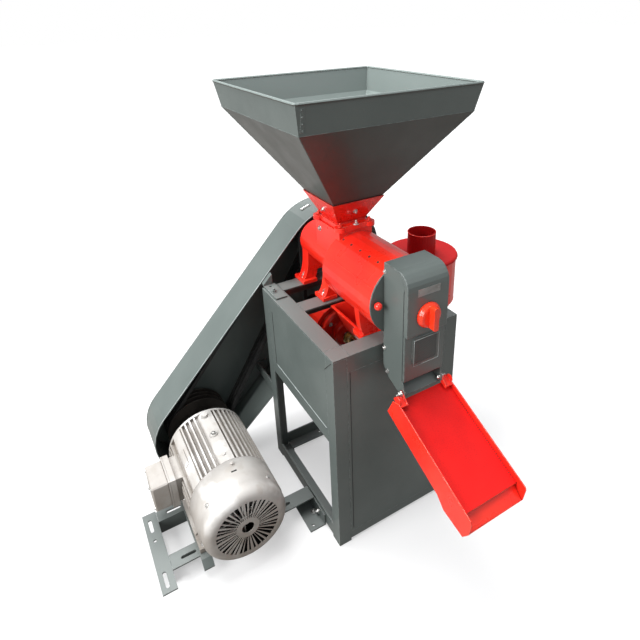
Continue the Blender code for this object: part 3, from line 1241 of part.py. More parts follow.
def chute_tab(side):
    """One side's hinge tab beside the head, the shelf that joins it to the wall and the wall's round ear."""
    inner_x = MILL_X + side * (HEAD_HALF + GAP)
    wall_x = MILL_X + side * (CHUTE_HALF - CHUTE_T / 2)
    shelf0, shelf1 = CHUTE_SHELF
    shelf_top, shelf_low = CHUTE_SHELF_V
    near, far = sorted((inner_x, inner_x + side * CHUTE_TAB_T))
    outline = arc((0.0, 0.0), CHUTE_TAB_R, 90, 270, 6) + [(shelf1, -CHUTE_TAB_R), (shelf1, shelf_top)]
    tab = prism(f"chute_tab_{side}", [[chute_point(u, v) for u, v in outline]], near, far, "YZ")
    near, far = sorted((inner_x, wall_x))
    outline = [(shelf0, shelf_top), (shelf0, shelf_low), (shelf1, shelf_low), (shelf1, shelf_top)]
    shelf = prism(f"chute_shelf_{side}", [[chute_point(u, v) for u, v in outline]], near, far, "YZ")
    near, far = sorted((wall_x, MILL_X + side * (CHUTE_HALF - CHUTE_TAB_T)))
    ear_u, ear_v = CHUTE_EAR
    outline = arc(CHUTE_EAR, CHUTE_EAR_R, 0, 180, 8)
    outline += [(ear_u - CHUTE_EAR_R, shelf_low + 0.001), (ear_u + CHUTE_EAR_R, shelf_low + 0.001)]
    ear = prism(f"chute_ear_{side}", [[chute_point(u, v) for u, v in outline]], near, far, "YZ")
    return tab, shelf, ear


def make_blower():
    """The blower: volute with its front cover and hub, impeller and shaft."""
    axis = (BLOWER_X, BLOWER_Z)
    y0, y1 = BLOWER_Y
    outlet_x = DUCT_X[1]
    top = FRAME_H - RING_FLANGE - DUCT_SEAT
    outline = arc(axis, BLOWER_R, 90, 270, 10)
    outline += [(BLOWER_X, BLOWER_Z - BLOWER_R)]
    bottom = BLOWER_Z - BLOWER_R
    outline += bend((BLOWER_X, bottom), (outlet_x, bottom - BLOWER_SAG), (outlet_x, BLOWER_Z), 6)
    outline += [(outlet_x, top), (DUCT_X[0], top), (DUCT_X[0] - 0.001, BLOWER_Z + BLOWER_R * 0.62)]
    outline += arc(axis, BLOWER_R, 30, 80, 4)
    housing = prism("blower_housing", [outline], y0, y1)
    face = [(0.0, y0 + 0.001), (BLOWER_FACE_R, y0 + 0.001), (BLOWER_FACE_R, BLOWER_FACE_Y + 0.004)]
    face += [(BLOWER_FACE_R - 0.004, BLOWER_FACE_Y), (BLOWER_HUB_R, BLOWER_FACE_Y)]
    face += [(BLOWER_HUB_R, BLOWER_HUB_Y + 0.003), (BLOWER_HUB_R - 0.003, BLOWER_HUB_Y), (0.0, BLOWER_HUB_Y)]
    join(housing, turned("blower_face", face, axis, sides=36))
    inner_y0, inner_y1 = y0 + BLOWER_T, y1 - BLOWER_T
    cut(housing, cylinder("blower_hollow", axis, BLOWER_R - BLOWER_T * 2, inner_y0, inner_y1, "Y", 32))
    mouth_low = (DUCT_X[0] + DUCT_T, max(inner_y0, DUCT_Y[0] + DUCT_T), BLOWER_Z)
    mouth_high = (DUCT_X[1] - DUCT_T, min(inner_y1, DUCT_Y[1] - DUCT_T), top + 0.01)
    cut(housing, box("blower_mouth", mouth_low, mouth_high))
    throat_low = (BLOWER_X + BLOWER_R * 0.6, mouth_low[1], BLOWER_Z - 0.010)
    cut(housing, box("blower_throat", throat_low, (mouth_high[0], mouth_high[1], BLOWER_Z + 0.030)))
    cut(housing, cylinder("blower_bore", axis, BLOWER_SHAFT_R + GAP, BLOWER_HUB_Y - 0.01, y1 + 0.01, "Y"))
    paint(housing, RED_ENAMEL)
    rotor = cylinder("blower_rotor", axis, BLOWER_SHAFT_R, *BLOWER_SHAFT_Y)
    join(rotor, cylinder("impeller_plate", axis, IMPELLER_R, inner_y1 - 0.006, inner_y1 - 0.004, "Y"))
    for i in range(IMPELLER_BLADES):
        blade_high = (IMPELLER_R, inner_y1 - 0.005, 0.001)
        blade = box(f"impeller_blade_{i}", (0.006, inner_y0 + 0.004, -0.001), blade_high)
        turn = Matrix.Rotation(2 * math.pi * i / IMPELLER_BLADES, 4, "Y")
        blade.data.transform(Matrix.Translation((BLOWER_X, 0.0, BLOWER_Z)) @ turn)
        join(rotor, blade)
    pivot(paint(rotor, STEEL), (BLOWER_X, 0.0, BLOWER_Z))


def make_bran_funnel():
    """The funnel that takes the bran from under the drum to the blower."""
    low = FRAME_H + GAP - BRAN_LIP - GAP
    y0 = FOOT_FRONT_Y[0]
    y1 = CROSS_Y - GAP
    t = BRAN_T
    under = low - BRAN_LIP_T
    lip = box("bran_funnel", (MILL_X - FOOT_HALF, y0, under), (MILL_X + FOOT_HALF, FOOT_FRONT_Y[1], low))
    lip_low = (MILL_X - BRAN_LIP_HALF, y0 + t, under)
    join(lip, box("funnel_lip", lip_low, (MILL_X + BRAN_LIP_HALF, y1, low)))
    x0, x1 = BRAN_LOW_X
    low_y0, low_y1 = BRAN_LOW_Y
    top_x0, top_x1 = MILL_X - BRAN_TOP_HALF, MILL_X + BRAN_TOP_HALF
    top_y0, top_y1 = y0 + t * 2, y1 - t * 2
    bottom = (x0, x1, low_y0, low_y1, BRAN_LOW_Z)
    join(lip, loft("funnel_skin", [bottom, (top_x0, top_x1, top_y0, top_y1, low - 0.001)]))
    inner_bottom = (x0 + t, x1 - t, low_y0 + t, low_y1 - t, BRAN_LOW_Z - 0.0001)
    inner_top = (top_x0 + t, top_x1 - t, top_y0 + t, top_y1 - t, low + 0.0001)
    cut(lip, loft("funnel_inside", [inner_bottom, inner_top]))
    paint(lip, RED_ENAMEL)


def make_duct():
    """The rectangular duct from the blower up, back and across into the cyclone."""
    low = FRAME_H - RING_FLANGE - DUCT_SEAT + GAP
    x0, x1 = DUCT_X
    y0, y1 = DUCT_Y
    run_y0, run_y1 = DUCT_RUN_Y
    z0, z1 = DUCT_Z
    reach = CYCLONE_X - CYCLONE_T * 5
    duct = box("air_duct", (x0, y0, low), (x1, y1, z1))
    turn = box("duct_turn", (x0 + GAP, y1 - 0.002, z0), (x1 - GAP, run_y1, z1 - GAP))
    join(duct, turn, box("duct_run", (x1 - 0.010, run_y0, z0 + GAP), (reach, run_y1 - GAP, z1 - GAP * 2)))
    t = DUCT_T
    cut(duct, box("duct_riser_inside", (x0 + t, y0 + t, low - 0.01), (x1 - t, y1 - t, z1 - t)))
    turn_low = (x0 + t * 2, y1 - t * 2, z0 + t)
    cut(duct, box("duct_turn_inside", turn_low, (x1 - t * 2, run_y1 - t, z1 - t * 1.5)))
    run_low = (x1 - t * 4, run_y0 + t, z0 + t * 1.5)
    cut(duct, box("duct_run_inside", run_low, (reach + 0.01, run_y1 - t * 1.5, z1 - t * 2)))
    centre = (CYCLONE_X, CYCLONE_Y)
    cut(duct, cylinder("duct_trim", centre, CYCLONE_R + GAP, z0 - 0.05, z1 + 0.05, "Z", ROUND))
    paint(duct, RED_ENAMEL)


def make_cyclone():
    """The dust cyclone: barrel and cone in one shell, a lid with the outlet pipe, and its bracket."""
    centre = (CYCLONE_X, CYCLONE_Y)
    profile = [(CYCLONE_R, CYCLONE_TOP_Z), (CYCLONE_R, CYCLONE_BARREL_Z), (CYCLONE_SPOUT_R, CYCLONE_CONE_Z)]
    profile += [(CYCLONE_SPOUT_R - 0.003, CYCLONE_SPOUT_Z)]
    body = turned("cyclone_body", profile, centre, "Z")
    wall = body.modifiers.new("wall", "SOLIDIFY")
    wall.thickness = CYCLONE_T
    wall.offset = -1.0
    t = DUCT_T * 2
    inlet_low = (CYCLONE_X - CYCLONE_R, DUCT_RUN_Y[0] + t, DUCT_Z[0] + t)
    inlet_high = (CYCLONE_X - CYCLONE_R / 3, DUCT_RUN_Y[1] - t, DUCT_Z[1] - t)
    cut(body, box("cyclone_inlet", inlet_low, inlet_high))
    paint(body, RED_ENAMEL)
    make_cyclone_lid(centre)
    make_cyclone_bracket(centre)


def make_cyclone_lid(centre):
    """The cyclone's lid with its outlet pipe."""
    low = CYCLONE_TOP_Z + GAP
    skirt = LID_TOP_Z - LID_DROP
    profile = [(PIPE_R - CYCLONE_T, PIPE_TOP_Z), (PIPE_R, PIPE_TOP_Z), (PIPE_R, LID_TOP_Z)]
    profile += [(LID_R - 0.006, LID_TOP_Z + 0.002), (LID_R - 0.002, LID_TOP_Z), (LID_R, LID_TOP_Z - 0.004)]
    profile += [(LID_R, skirt), (LID_R - 0.002, skirt), (LID_R - 0.002, low), (PIPE_R, low)]
    profile += [(PIPE_R, PIPE_LOW_Z), (PIPE_R - CYCLONE_T, PIPE_LOW_Z)]
    paint(turned("cyclone_lid", profile, centre, "Z", closed=True), RED_ENAMEL)


def make_cyclone_bracket(centre):
    """The bracket that holds the cyclone's barrel to the frame's right panel."""
    x0 = FRAME_W + GAP
    low, high = BRACKET_Z
    near, far = CYCLONE_Y - BRACKET_HALF, CYCLONE_Y + BRACKET_HALF
    arm_near, arm_far = CYCLONE_Y - BRACKET_ARM_HALF, CYCLONE_Y + BRACKET_ARM_HALF
    bracket = box("cyclone_bracket", (x0, near, low), (x0 + ANGLE_T, far, high))
    arm = box("bracket_arm", (x0, arm_near, low + 0.010), (CYCLONE_X - CYCLONE_R / 2, arm_far, high - 0.010))
    join(bracket, arm)
    cut(bracket, cylinder("bracket_trim", centre, CYCLONE_R + GAP * 1.5, low - 0.01, high + 0.01, "Z", ROUND))
    paint(bracket, GREY_ENAMEL)


make_legs()
make_ring()
make_low_rails()
make_panels()
make_motor_base()
make_motor_housing()
make_end_shield()
make_cowl()
make_terminal_box()
make_motor_rotor()
make_pulleys()
make_belts()
make_guard()
make_guard_mounts()
make_drum()
make_mill_inside()
make_feed_neck()
make_hopper()
make_end_disc()
make_ball_knob()
make_head_chassis()
make_upper_cover()
make_lower_cover()
make_pressure_knob()
make_outlet_cone()
make_chute()
make_blower()
make_bran_funnel()
make_duct()
make_cyclone()
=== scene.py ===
"""Looks of the rice huller: a finish for every CAD node, its small fittings, the studio and the camera.

Metres. Places are given in the drawing frame of the CAD source, whose corner is the front left leg's foot.
"""
import json
import math

import bmesh
import bpy
from mathutils import Matrix, Vector


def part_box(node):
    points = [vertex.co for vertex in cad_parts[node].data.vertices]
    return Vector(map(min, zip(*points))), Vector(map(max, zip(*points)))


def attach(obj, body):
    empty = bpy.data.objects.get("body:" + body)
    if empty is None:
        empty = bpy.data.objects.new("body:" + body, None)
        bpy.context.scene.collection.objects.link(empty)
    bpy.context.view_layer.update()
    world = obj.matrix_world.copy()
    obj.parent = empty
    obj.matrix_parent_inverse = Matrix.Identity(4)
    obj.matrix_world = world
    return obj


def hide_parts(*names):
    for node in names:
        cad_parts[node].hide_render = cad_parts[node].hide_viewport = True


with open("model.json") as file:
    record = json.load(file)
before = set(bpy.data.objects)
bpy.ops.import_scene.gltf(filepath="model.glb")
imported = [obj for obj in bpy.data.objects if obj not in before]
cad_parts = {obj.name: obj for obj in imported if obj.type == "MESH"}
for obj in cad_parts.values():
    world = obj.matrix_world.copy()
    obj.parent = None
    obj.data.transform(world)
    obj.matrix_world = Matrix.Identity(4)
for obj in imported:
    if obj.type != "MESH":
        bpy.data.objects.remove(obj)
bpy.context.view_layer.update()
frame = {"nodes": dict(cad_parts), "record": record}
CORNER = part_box("leg_front_left")[0]

# Camera, solved from the photograph's straight edges
CAMERA_AT = (-0.4068, -0.7546, 1.2009)
CAMERA_YAW = -30.17
CAMERA_PITCH = -23.62
CAMERA_ROLL = -1.57
CAMERA_LENS = 29.098
CAMERA_SHIFT = (-0.03578, -0.12969)

# Driving places and sizes, as the CAD source has them
RING_TOP = 0.550
FRAME_SIZE = (0.332, 0.3667)
MILL_X = 0.166
DRUM_Z = 0.655
DRUM_R = 0.083
PORT_YS = (0.028, 0.060, 0.095, 0.131, 0.165)
PORT_ANGLE = 26.5
MOTOR_AXIS = (-0.2015, 0.146)
MOTOR_R = 0.1008
GUARD_RADII = (0.1225, 0.147)
HINGE = (-0.0794, 0.4755)
CHUTE_SLOPE = 25.4
FEED_Y = 0.2264
FLANGE_TOP = 0.7572
FUNNEL_FOOT = (0.037, 0.759)
FUNNEL_MOUTH = (0.0672, 0.817)
FUNNEL_BOLT_Z = 0.787
HEAD_HALF = 0.050
BLOWER_AXIS = (0.160, 0.435)
PANEL_FACE = -0.0002

# The fan cowl: its face, seam and rear, its round edge and step, and the grille with its slots
COWL_Y = (0.0552, 0.0905, 0.1655)
COWL_EDGE_R = 0.0198
COWL_EDGE_STEPS = 8
COWL_STEP = 0.0020
COWL_WALL = 0.0020
GRILLE_EYE_R = 0.0145
GRILLE_R = (0.0270, 0.0735)
GRILLE_SLOTS = 38
SLOT_STEPS = 5
OPEN_STEPS = 3

# Base tones of the enamels, each drifting between two
GREY_TONES = ((0.086, 0.104, 0.098), (0.112, 0.132, 0.125))
# Pale edge tone: wear, and painted highlight along the edges
EDGE_HIGHLIGHT_AND_WEAR_TONE = (0.42, 0.46, 0.45)
# Dark tone for corners and valleys: painted shade and dirt
CORNER_SHADE_AND_DIRT_TONE = (0.040, 0.043, 0.038)

FLOOR_HALF = 30.0

# Lamps of the studio: place, size in metres and power in watts
LAMPS = (
    ("window", (-3.2, -0.3, 2.2), 2.2, 178.0),
    ("ceiling", (-0.2, 0.7, 3.4), 2.2, 185.0),
    ("fill", (0.9, -2.6, 2.8), 2.2, 18.0),
)

LEFT, RIGHT = Vector((-1, 0, 0)), Vector((1, 0, 0))
FRONT, BACK = Vector((0, -1, 0)), Vector((0, 1, 0))
UP = Vector((0, 0, 1))


def at(x, y, z):
    """A point of the drawing frame as the scene has it."""
    return CORNER + Vector((x, y, z))


def ray(turn):
    """The direction at an angle in degrees, from the right towards up, across the mill's axis."""
    angle = math.radians(turn)
    return Vector((math.cos(angle), 0, math.sin(angle)))


def node(tree, kind, settings=(), **sockets):
    """A shader node with settings as attributes and socket values or links by name."""
    made = tree.nodes.new(kind)
    for key, value in settings:
        setattr(made, key, value)
    for key, value in sockets.items():
        numbered = key[0] == "i" and key[1:].isdigit()
        socket = made.inputs[int(key[1:]) if numbered else key.replace("_", " ")]
        if isinstance(value, bpy.types.NodeSocket):
            tree.links.new(value, socket)
        else:
            socket.default_value = value
    return made


def mixed(tree, factor, first, second):
    """A colour mixed from two, as a socket."""
    mix = node(tree, "ShaderNodeMix", [("data_type", "RGBA")])
    for socket, value in ((mix.inputs[0], factor), (mix.inputs[6], first), (mix.inputs[7], second)):
        if isinstance(value, bpy.types.NodeSocket):
            tree.links.new(value, socket)
        else:
            socket.default_value = value
    return mix.outputs[2]


def ranged(tree, value, from_low, from_high, to_low, to_high):
    """A value mapped from one range to another and held inside it."""
    limits = {"From_Min": from_low, "From_Max": from_high, "To_Min": to_low, "To_Max": to_high}
    made = node(tree, "ShaderNodeMapRange", **limits)
    tree.links.new(value, made.inputs["Value"])
    return made.outputs["Result"]


def multiplied(tree, first, second):
    """The product of two values, as a socket."""
    return node(tree, "ShaderNodeMath", [("operation", "MULTIPLY")], i0=first, i1=second).outputs[0]


class Finish:
    """A procedural finish: clouded colour, edges with wear and painted highlight, painted light and shade,
    grain and uneven gloss.
    """

    def __init__(self, name, rough, metal=0.0, coat=0.0):
        self.material = bpy.data.materials.new(name)
        self.material.use_nodes = True
        self.tree = self.material.node_tree
        self.shader = self.tree.nodes["Principled BSDF"]
        self.shader.inputs["Metallic"].default_value = metal
        self.shader.inputs["Coat Weight"].default_value = coat
        self.shader.inputs["Coat Roughness"].default_value = 0.12
        self.rough = rough
        self.place = node(self.tree, "ShaderNodeTexCoord").outputs["Object"]
        self.normal = None
        self.colour = None

    def noise(self, scale, detail=3.0):
        """A noise in the object's own space."""
        made = node(self.tree, "ShaderNodeTexNoise", Vector=self.place, Scale=scale, Detail=detail)
        return made.outputs["Fac"]

    def cover(self, mask, tone):
        """Another tone over the colour, as much as the mask says."""
        self.colour = mixed(self.tree, mask, self.colour, (*tone, 1.0))
        return self

    def clouds(self, deep, light, scale=6.0):
        """The base colour, drifting between two tones."""
        drift = ranged(self.tree, self.noise(scale, 5.0), 0.32, 0.68, 0.0, 1.0)
        self.colour = mixed(self.tree, drift, (*deep, 1.0), (*light, 1.0))
        return self

    def edges(self, edge_tone, radius, amount):
        """Rounded edges, with another tone along them for wear and painted highlight."""
        round_edge = node(self.tree, "ShaderNodeBevel", [("samples", 4)], Radius=radius)
        flat = node(self.tree, "ShaderNodeNewGeometry").outputs["Normal"]
        product = [("operation", "DOT_PRODUCT")]
        meet = node(self.tree, "ShaderNodeVectorMath", product, i0=round_edge.outputs[0], i1=flat)
        edge_highlight_and_wear = ranged(self.tree, meet.outputs["Value"], 0.985, 0.90, 0.0, 1.0)
        patchy = ranged(self.tree, self.noise(95.0), 0.38, 0.56, 0.0, amount)
        self.normal = round_edge.outputs[0]
        return self.cover(multiplied(self.tree, edge_highlight_and_wear, patchy), edge_tone)

    def stains(self, tone, scale, low, high, amount):
        """Soft blotches of another tone where a noise is high."""
        mask = ranged(self.tree, self.noise(scale, 6.0), low, high, 0.0, amount)
        return self.cover(mask, tone)

    def corner_shade_and_dirt(self, tone, reach, amount):
        """Painted shade and dirt: a darker tone in corners and valleys, from ambient occlusion."""
        near = node(self.tree, "ShaderNodeAmbientOcclusion", [("samples", 6)], Distance=reach).outputs["AO"]
        mask = ranged(self.tree, near, 0.85, 0.35, 0.0, amount)
        return self.cover(mask, tone)

    def darker_downwards(self, tone, low, high, amount):
        """A darker tone that thickens downwards between two heights."""
        rise = node(self.tree, "ShaderNodeSeparateXYZ", Vector=self.place).outputs["Z"]
        fade = ranged(self.tree, rise, CORNER.z + high, CORNER.z + low, 0.0, amount)
        patchy = ranged(self.tree, self.noise(22.0, 6.0), 0.30, 0.55, 0.35, 1.0)
        return self.cover(multiplied(self.tree, fade, patchy), tone)

    def slope(self, tone, start, full, amount):
        """Painted light and shade: another tone on faces by how far up or down they look."""
        flat = node(self.tree, "ShaderNodeNewGeometry").outputs["Normal"]
        rise = node(self.tree, "ShaderNodeSeparateXYZ", Vector=flat).outputs["Z"]
        mask = ranged(self.tree, rise, start, full, 0.0, amount)
        return self.cover(mask, tone)

    def bump(self, height, strength, distance=0.0005):
        """A bump on top of the rounded edges."""
        step = node(self.tree, "ShaderNodeBump", Strength=strength, Distance=distance, Height=height)
        if self.normal:
            self.tree.links.new(self.normal, step.inputs["Normal"])
        self.normal = step.outputs["Normal"]
        return self

    def grain(self, scale, strength, distance=0.0005):
        """Paint peel or casting grain."""
        return self.bump(self.noise(scale), strength, distance)

    def done(self, spread=0.07, scale=14.0):
        """Link everything to the shader, with the gloss a little uneven."""
        gloss = ranged(self.tree, self.noise(scale, 6.0), 0.3, 0.7, self.rough - spread, self.rough + spread)
        self.tree.links.new(gloss, self.shader.inputs["Roughness"])
        self.tree.links.new(self.colour, self.shader.inputs["Base Color"])
        if self.normal:
            self.tree.links.new(self.normal, self.shader.inputs["Normal"])
        return self.material


def grey_enamel():
    """Semi-gloss blue-grey enamel, paler on its edges with wear and painted highlight."""
    finish = Finish("grey enamel", 0.36, coat=0.15).clouds(*GREY_TONES, 5.0)
    # Paler edges: wear and painted highlight
    finish.edges(EDGE_HIGHLIGHT_AND_WEAR_TONE, 0.0011, 0.7)
    finish.stains((0.075, 0.078, 0.070), 3.1, 0.55, 0.80, 0.35)
    # Lighter upward faces: painted light
    finish.slope((0.24, 0.25, 0.245), 0.80, 0.98, 0.30)
    # Darker corners: painted shade and dirt
    finish.corner_shade_and_dirt(CORNER_SHADE_AND_DIRT_TONE, 0.012, 0.5)
    return finish.grain(520.0, 0.08).done()


def hopper_enamel():
    """The hopper's grey enamel: painted light on its upward faces inside, and painted shade, dark and
    brownish, on the faces under the cone.
    """
    finish = Finish("hopper enamel", 0.40, coat=0.10)
    finish.clouds(*GREY_TONES, 5.0)
    # Paler edges: wear and painted highlight
    finish.edges(EDGE_HIGHLIGHT_AND_WEAR_TONE, 0.0011, 0.7)
    # Dark brownish downward faces: painted shade
    finish.slope((0.022, 0.018, 0.012), -0.30, -0.50, 0.65)
    # Lighter upward faces: painted light
    finish.slope((0.19, 0.225, 0.215), 0.05, 0.18, 0.65)
    return finish.grain(520.0, 0.08).done()


def red_with_painted_shade():
    """The red enamel of the cyclone's lid, darker and duller as painted shade, with a painted orange
    highlight on its edges.
    """
    finish = Finish("deep red enamel", 0.50)
    finish.shader.inputs["Specular IOR Level"].default_value = 0.25
    # Darker red tones: painted shade
    finish.clouds((0.34, 0.002, 0.003), (0.47, 0.005, 0.006), 8.0)
    return finish.edges((0.80, 0.10, 0.06), 0.0014, 0.5).grain(340.0, 0.14).done(0.06)


def hem_highlight_and_wear_enamel():
    """The same enamel made pale for folded edges and hems: painted highlight and wear."""
    finish = Finish("rubbed enamel", 0.34, coat=0.15).clouds((0.17, 0.19, 0.185), (0.36, 0.40, 0.39), 34.0)
    return finish.grain(520.0, 0.08).done()


def cover_enamel():
    """The grey enamel of the head's pressed covers, with wide soft edges paled by wear and painted highlight.
    """
    finish = Finish("cover enamel", 0.34, coat=0.15).clouds(*GREY_TONES, 5.0)
    # Paler wide edges: wear and painted highlight
    finish.edges((0.30, 0.34, 0.33), 0.0036, 0.5)
    # Darker corners: painted shade and dirt
    finish.corner_shade_and_dirt(CORNER_SHADE_AND_DIRT_TONE, 0.008, 0.4)
    return finish.grain(520.0, 0.08).done()


def dull_tin():
    """The dulled tin of the bare plates."""
    finish = Finish("dull tin", 0.46, metal=0.7).clouds((0.24, 0.24, 0.23), (0.36, 0.36, 0.35), 40.0)
    return finish.edges((0.50, 0.50, 0.49), 0.0005, 0.5).grain(600.0, 0.2, 0.0002).done(0.08)


def window_mesh():
    """The dark pressed mesh in the window of the head's lower cover, with painted shade in its open cells."""
    finish = Finish("window mesh", 0.42).clouds((0.056, 0.064, 0.061), (0.072, 0.082, 0.078))
    waves = []
    for angle in (math.radians(45), math.radians(-45)):
        turned = node(finish.tree, "ShaderNodeMapping", Vector=finish.place, Rotation=(0.0, angle, 0.0))
        wave = node(finish.tree, "ShaderNodeTexWave", Vector=turned.outputs[0], Scale=105.0)
        waves.append(wave.outputs["Fac"])
    cross = multiplied(finish.tree, *waves)
    # Near-black open cells: painted shade behind the mesh
    open_cell_shade = ranged(finish.tree, cross, 0.20, 0.60, 0.0, 0.9)
    finish.colour = mixed(finish.tree, open_cell_shade, finish.colour, (0.008, 0.009, 0.008, 1.0))
    return finish.bump(cross, 0.5, -0.0005).done(0.05)


def red_enamel():
    """Gloss red enamel over castings and sheet, with a painted orange highlight along its edges."""
    finish = Finish("red enamel", 0.30, coat=0.30).clouds((0.82, 0.015, 0.008), (0.93, 0.030, 0.012), 8.0)
    # Orange tone on the edges: painted highlight
    finish.edges((0.96, 0.26, 0.14), 0.0014, 0.6)
    # Darker red in corners: painted shade and dirt
    finish.corner_shade_and_dirt((0.30, 0.004, 0.006), 0.010, 0.6)
    return finish.grain(340.0, 0.14).done(0.06)


def motor_paint():
    """Silver-white paint, brushed on thickly, grey with wear in places, with painted shade and dust between
    the fins.
    """
    finish = Finish("motor paint", 0.54, metal=0.05).clouds((0.36, 0.342, 0.322), (0.49, 0.478, 0.460), 9.0)
    finish.edges((0.34, 0.325, 0.31), 0.0014, 0.45)
    finish.stains((0.36, 0.335, 0.305), 30.0, 0.53, 0.64, 0.60)
    finish.stains((0.78, 0.775, 0.765), 11.0, 0.56, 0.66, 0.55)
    # Darker between the fins: painted shade and dust
    finish.corner_shade_and_dirt((0.150, 0.128, 0.108), 0.012, 0.85)
    # Darker towards the bottom of the motor
    finish.darker_downwards((0.225, 0.192, 0.160), 0.110, 0.245, 0.80)
    return finish.grain(260.0, 0.30, 0.0007).done(0.12)


def cast_iron():
    """Dark cast pulleys with turned faces."""
    finish = Finish("cast iron", 0.50, metal=0.6).clouds((0.030, 0.026, 0.023), (0.062, 0.054, 0.047), 30.0)
    return finish.edges((0.20, 0.18, 0.16), 0.0012, 0.8).grain(300.0, 0.4).done(0.10)


def bright_steel():
    """Zinc-plated or turned steel."""
    finish = Finish("bright steel", 0.30, metal=1.0).clouds((0.52, 0.51, 0.49), (0.72, 0.71, 0.69), 60.0)
    return finish.edges((0.85, 0.84, 0.82), 0.0005, 0.5).grain(900.0, 0.12, 0.0002).done(0.08, 200.0)


def brass():
    """Yellow brass of the blower's shaft nut."""
    finish = Finish("brass", 0.28, metal=1.0).clouds((0.62, 0.40, 0.16), (0.80, 0.58, 0.28), 50.0)
    return finish.edges((0.9, 0.7, 0.4), 0.0004, 0.5).grain(700.0, 0.1, 0.0002).done(0.06)


def dark_gap():
    """The blackness of painted shade inside slots and holes, and the dark of open seams."""
    finish = Finish("dark gap", 0.85).clouds((0.010, 0.010, 0.009), (0.020, 0.019, 0.018), 80.0)
    return finish.grain(400.0, 0.2, 0.0002).done(0.05)


def belt_rubber():
    """Black belt rubber with a cloth weave."""
    finish = Finish("belt rubber", 0.72).clouds((0.012, 0.012, 0.012), (0.030, 0.029, 0.028), 40.0)
    slant = [("bands_direction", "DIAGONAL")]
    weave = node(finish.tree, "ShaderNodeTexWave", slant, Vector=finish.place, Scale=260.0)
    return finish.bump(weave.outputs["Fac"], 0.35, 0.0004).grain(800.0, 0.2, 0.0002).done()


def knob_plastic():
    """Glossy orange-red moulded plastic."""
    finish = Finish("knob plastic", 0.20, coat=0.3).clouds((0.88, 0.030, 0.008), (0.94, 0.048, 0.012), 9.0)
    return finish.edges((0.98, 0.20, 0.08), 0.0012, 0.3).grain(700.0, 0.05, 0.0002).done(0.04)


def sieve_enamel():
    """The red chute floor, pricked with close rows of small holes."""
    finish = Finish("red sieve", 0.42).clouds((0.54, 0.006, 0.006), (0.68, 0.010, 0.008), 8.0)
    finish.shader.inputs["Specular IOR Level"].default_value = 0.2
    cells = node(finish.tree, "ShaderNodeTexVoronoi", Vector=finish.place, Scale=360.0, Randomness=0.85)
    distance = cells.outputs["Distance"]
    hole = ranged(finish.tree, distance, 0.34, 0.20, 0.0, 0.4)
    finish.colour = mixed(finish.tree, hole, finish.colour, (0.30, 0.004, 0.005, 1.0))
    return finish.bump(ranged(finish.tree, distance, 0.20, 0.36, 0.0, 1.0), 0.18, 0.0003).done(0.06)


FINISHES = {
    "grey_enamel": grey_enamel(),
    "red_enamel": red_enamel(),
    "motor_paint": motor_paint(),
    "cast_iron": cast_iron(),
    "bright_steel": bright_steel(),
    "belt_rubber": belt_rubber(),
    "knob_plastic": knob_plastic(),
}
BRASS = brass()
SIEVE = sieve_enamel()
MESH = window_mesh()
GAP = dark_gap()
HEM_HIGHLIGHT_AND_WEAR = hem_highlight_and_wear_enamel()
COVER = cover_enamel()
TIN = dull_tin()
OWN_FINISH = {
    "chute_sieve": SIEVE,
    "head_upper_cover": COVER,
    "head_lower_cover": COVER,
    "cyclone_lid": red_with_painted_shade(),
    "hopper": hopper_enamel(),
}


def dress_nodes():
    """Every CAD node gets the finish of its material slot."""
    for part in frame["record"]["subparts"]:
        made = frame["nodes"][part["node"]]
        finish = OWN_FINISH.get(part["node"], FINISHES[part["material_slot"]])
        for slot in made.material_slots:
            slot.material = finish


def add(name, data, body, slot, finish=None):
    """A new piece on a body, with the finish of a slot."""
    made = bpy.data.objects.new(name, data)
    bpy.context.scene.collection.objects.link(made)
    data.materials.append(finish or FINISHES[slot])
    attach(made, body)
    return made


def from_shape(name, shape, body, slot, finish=None):
    """A new piece from a bmesh."""
    mesh = bpy.data.meshes.new(name)
    bmesh.ops.recalc_face_normals(shape, faces=shape.faces)
    shape.to_mesh(mesh)
    shape.free()
    return add(name, mesh, body, slot, finish)


def facing(spot, direction):
    """The matrix that puts a shape drawn upright at a spot, pointing in a direction."""
    return Matrix.Translation(spot) @ direction.to_track_quat("Z", "Y").to_matrix().to_4x4()


def ring_cone(shape, matrix, sides, low, high, low_r, high_r):
    """A capped cone or cylinder in a bmesh, upright before the matrix is applied."""
    spot = matrix @ Matrix.Translation((0, 0, (low + high) / 2))
    sizes = {"radius1": low_r, "radius2": high_r, "depth": high - low}
    bmesh.ops.create_cone(shape, cap_ends=True, segments=sides, matrix=spot, **sizes)


def bolts(name, body, size, places, slot="bright_steel", finish=None, stud=0.35):
    """Hexagon bolts or nuts on washers, each at a spot and pointing in a direction.

    The size is half the width across corners, and the stud is how far the thread stands out of the nut.
    """
    shape = bmesh.new()
    for number, (spot, direction) in enumerate(places):
        matrix = facing(spot, direction) @ Matrix.Rotation(0.7 * number + 0.2, 4, "Z")
        ring_cone(shape, matrix, 20, -0.0004, size * 0.22, size * 1.45, size * 1.40)
        ring_cone(shape, matrix, 6, size * 0.22, size * 0.85, size, size)
        ring_cone(shape, matrix, 6, size * 0.85, size * 0.98, size, size * 0.84)
        ring_cone(shape, matrix, 12, size * 0.98, size * (1.0 + stud), size * 0.50, size * 0.44)
    return from_shape(name, shape, body, slot, finish)


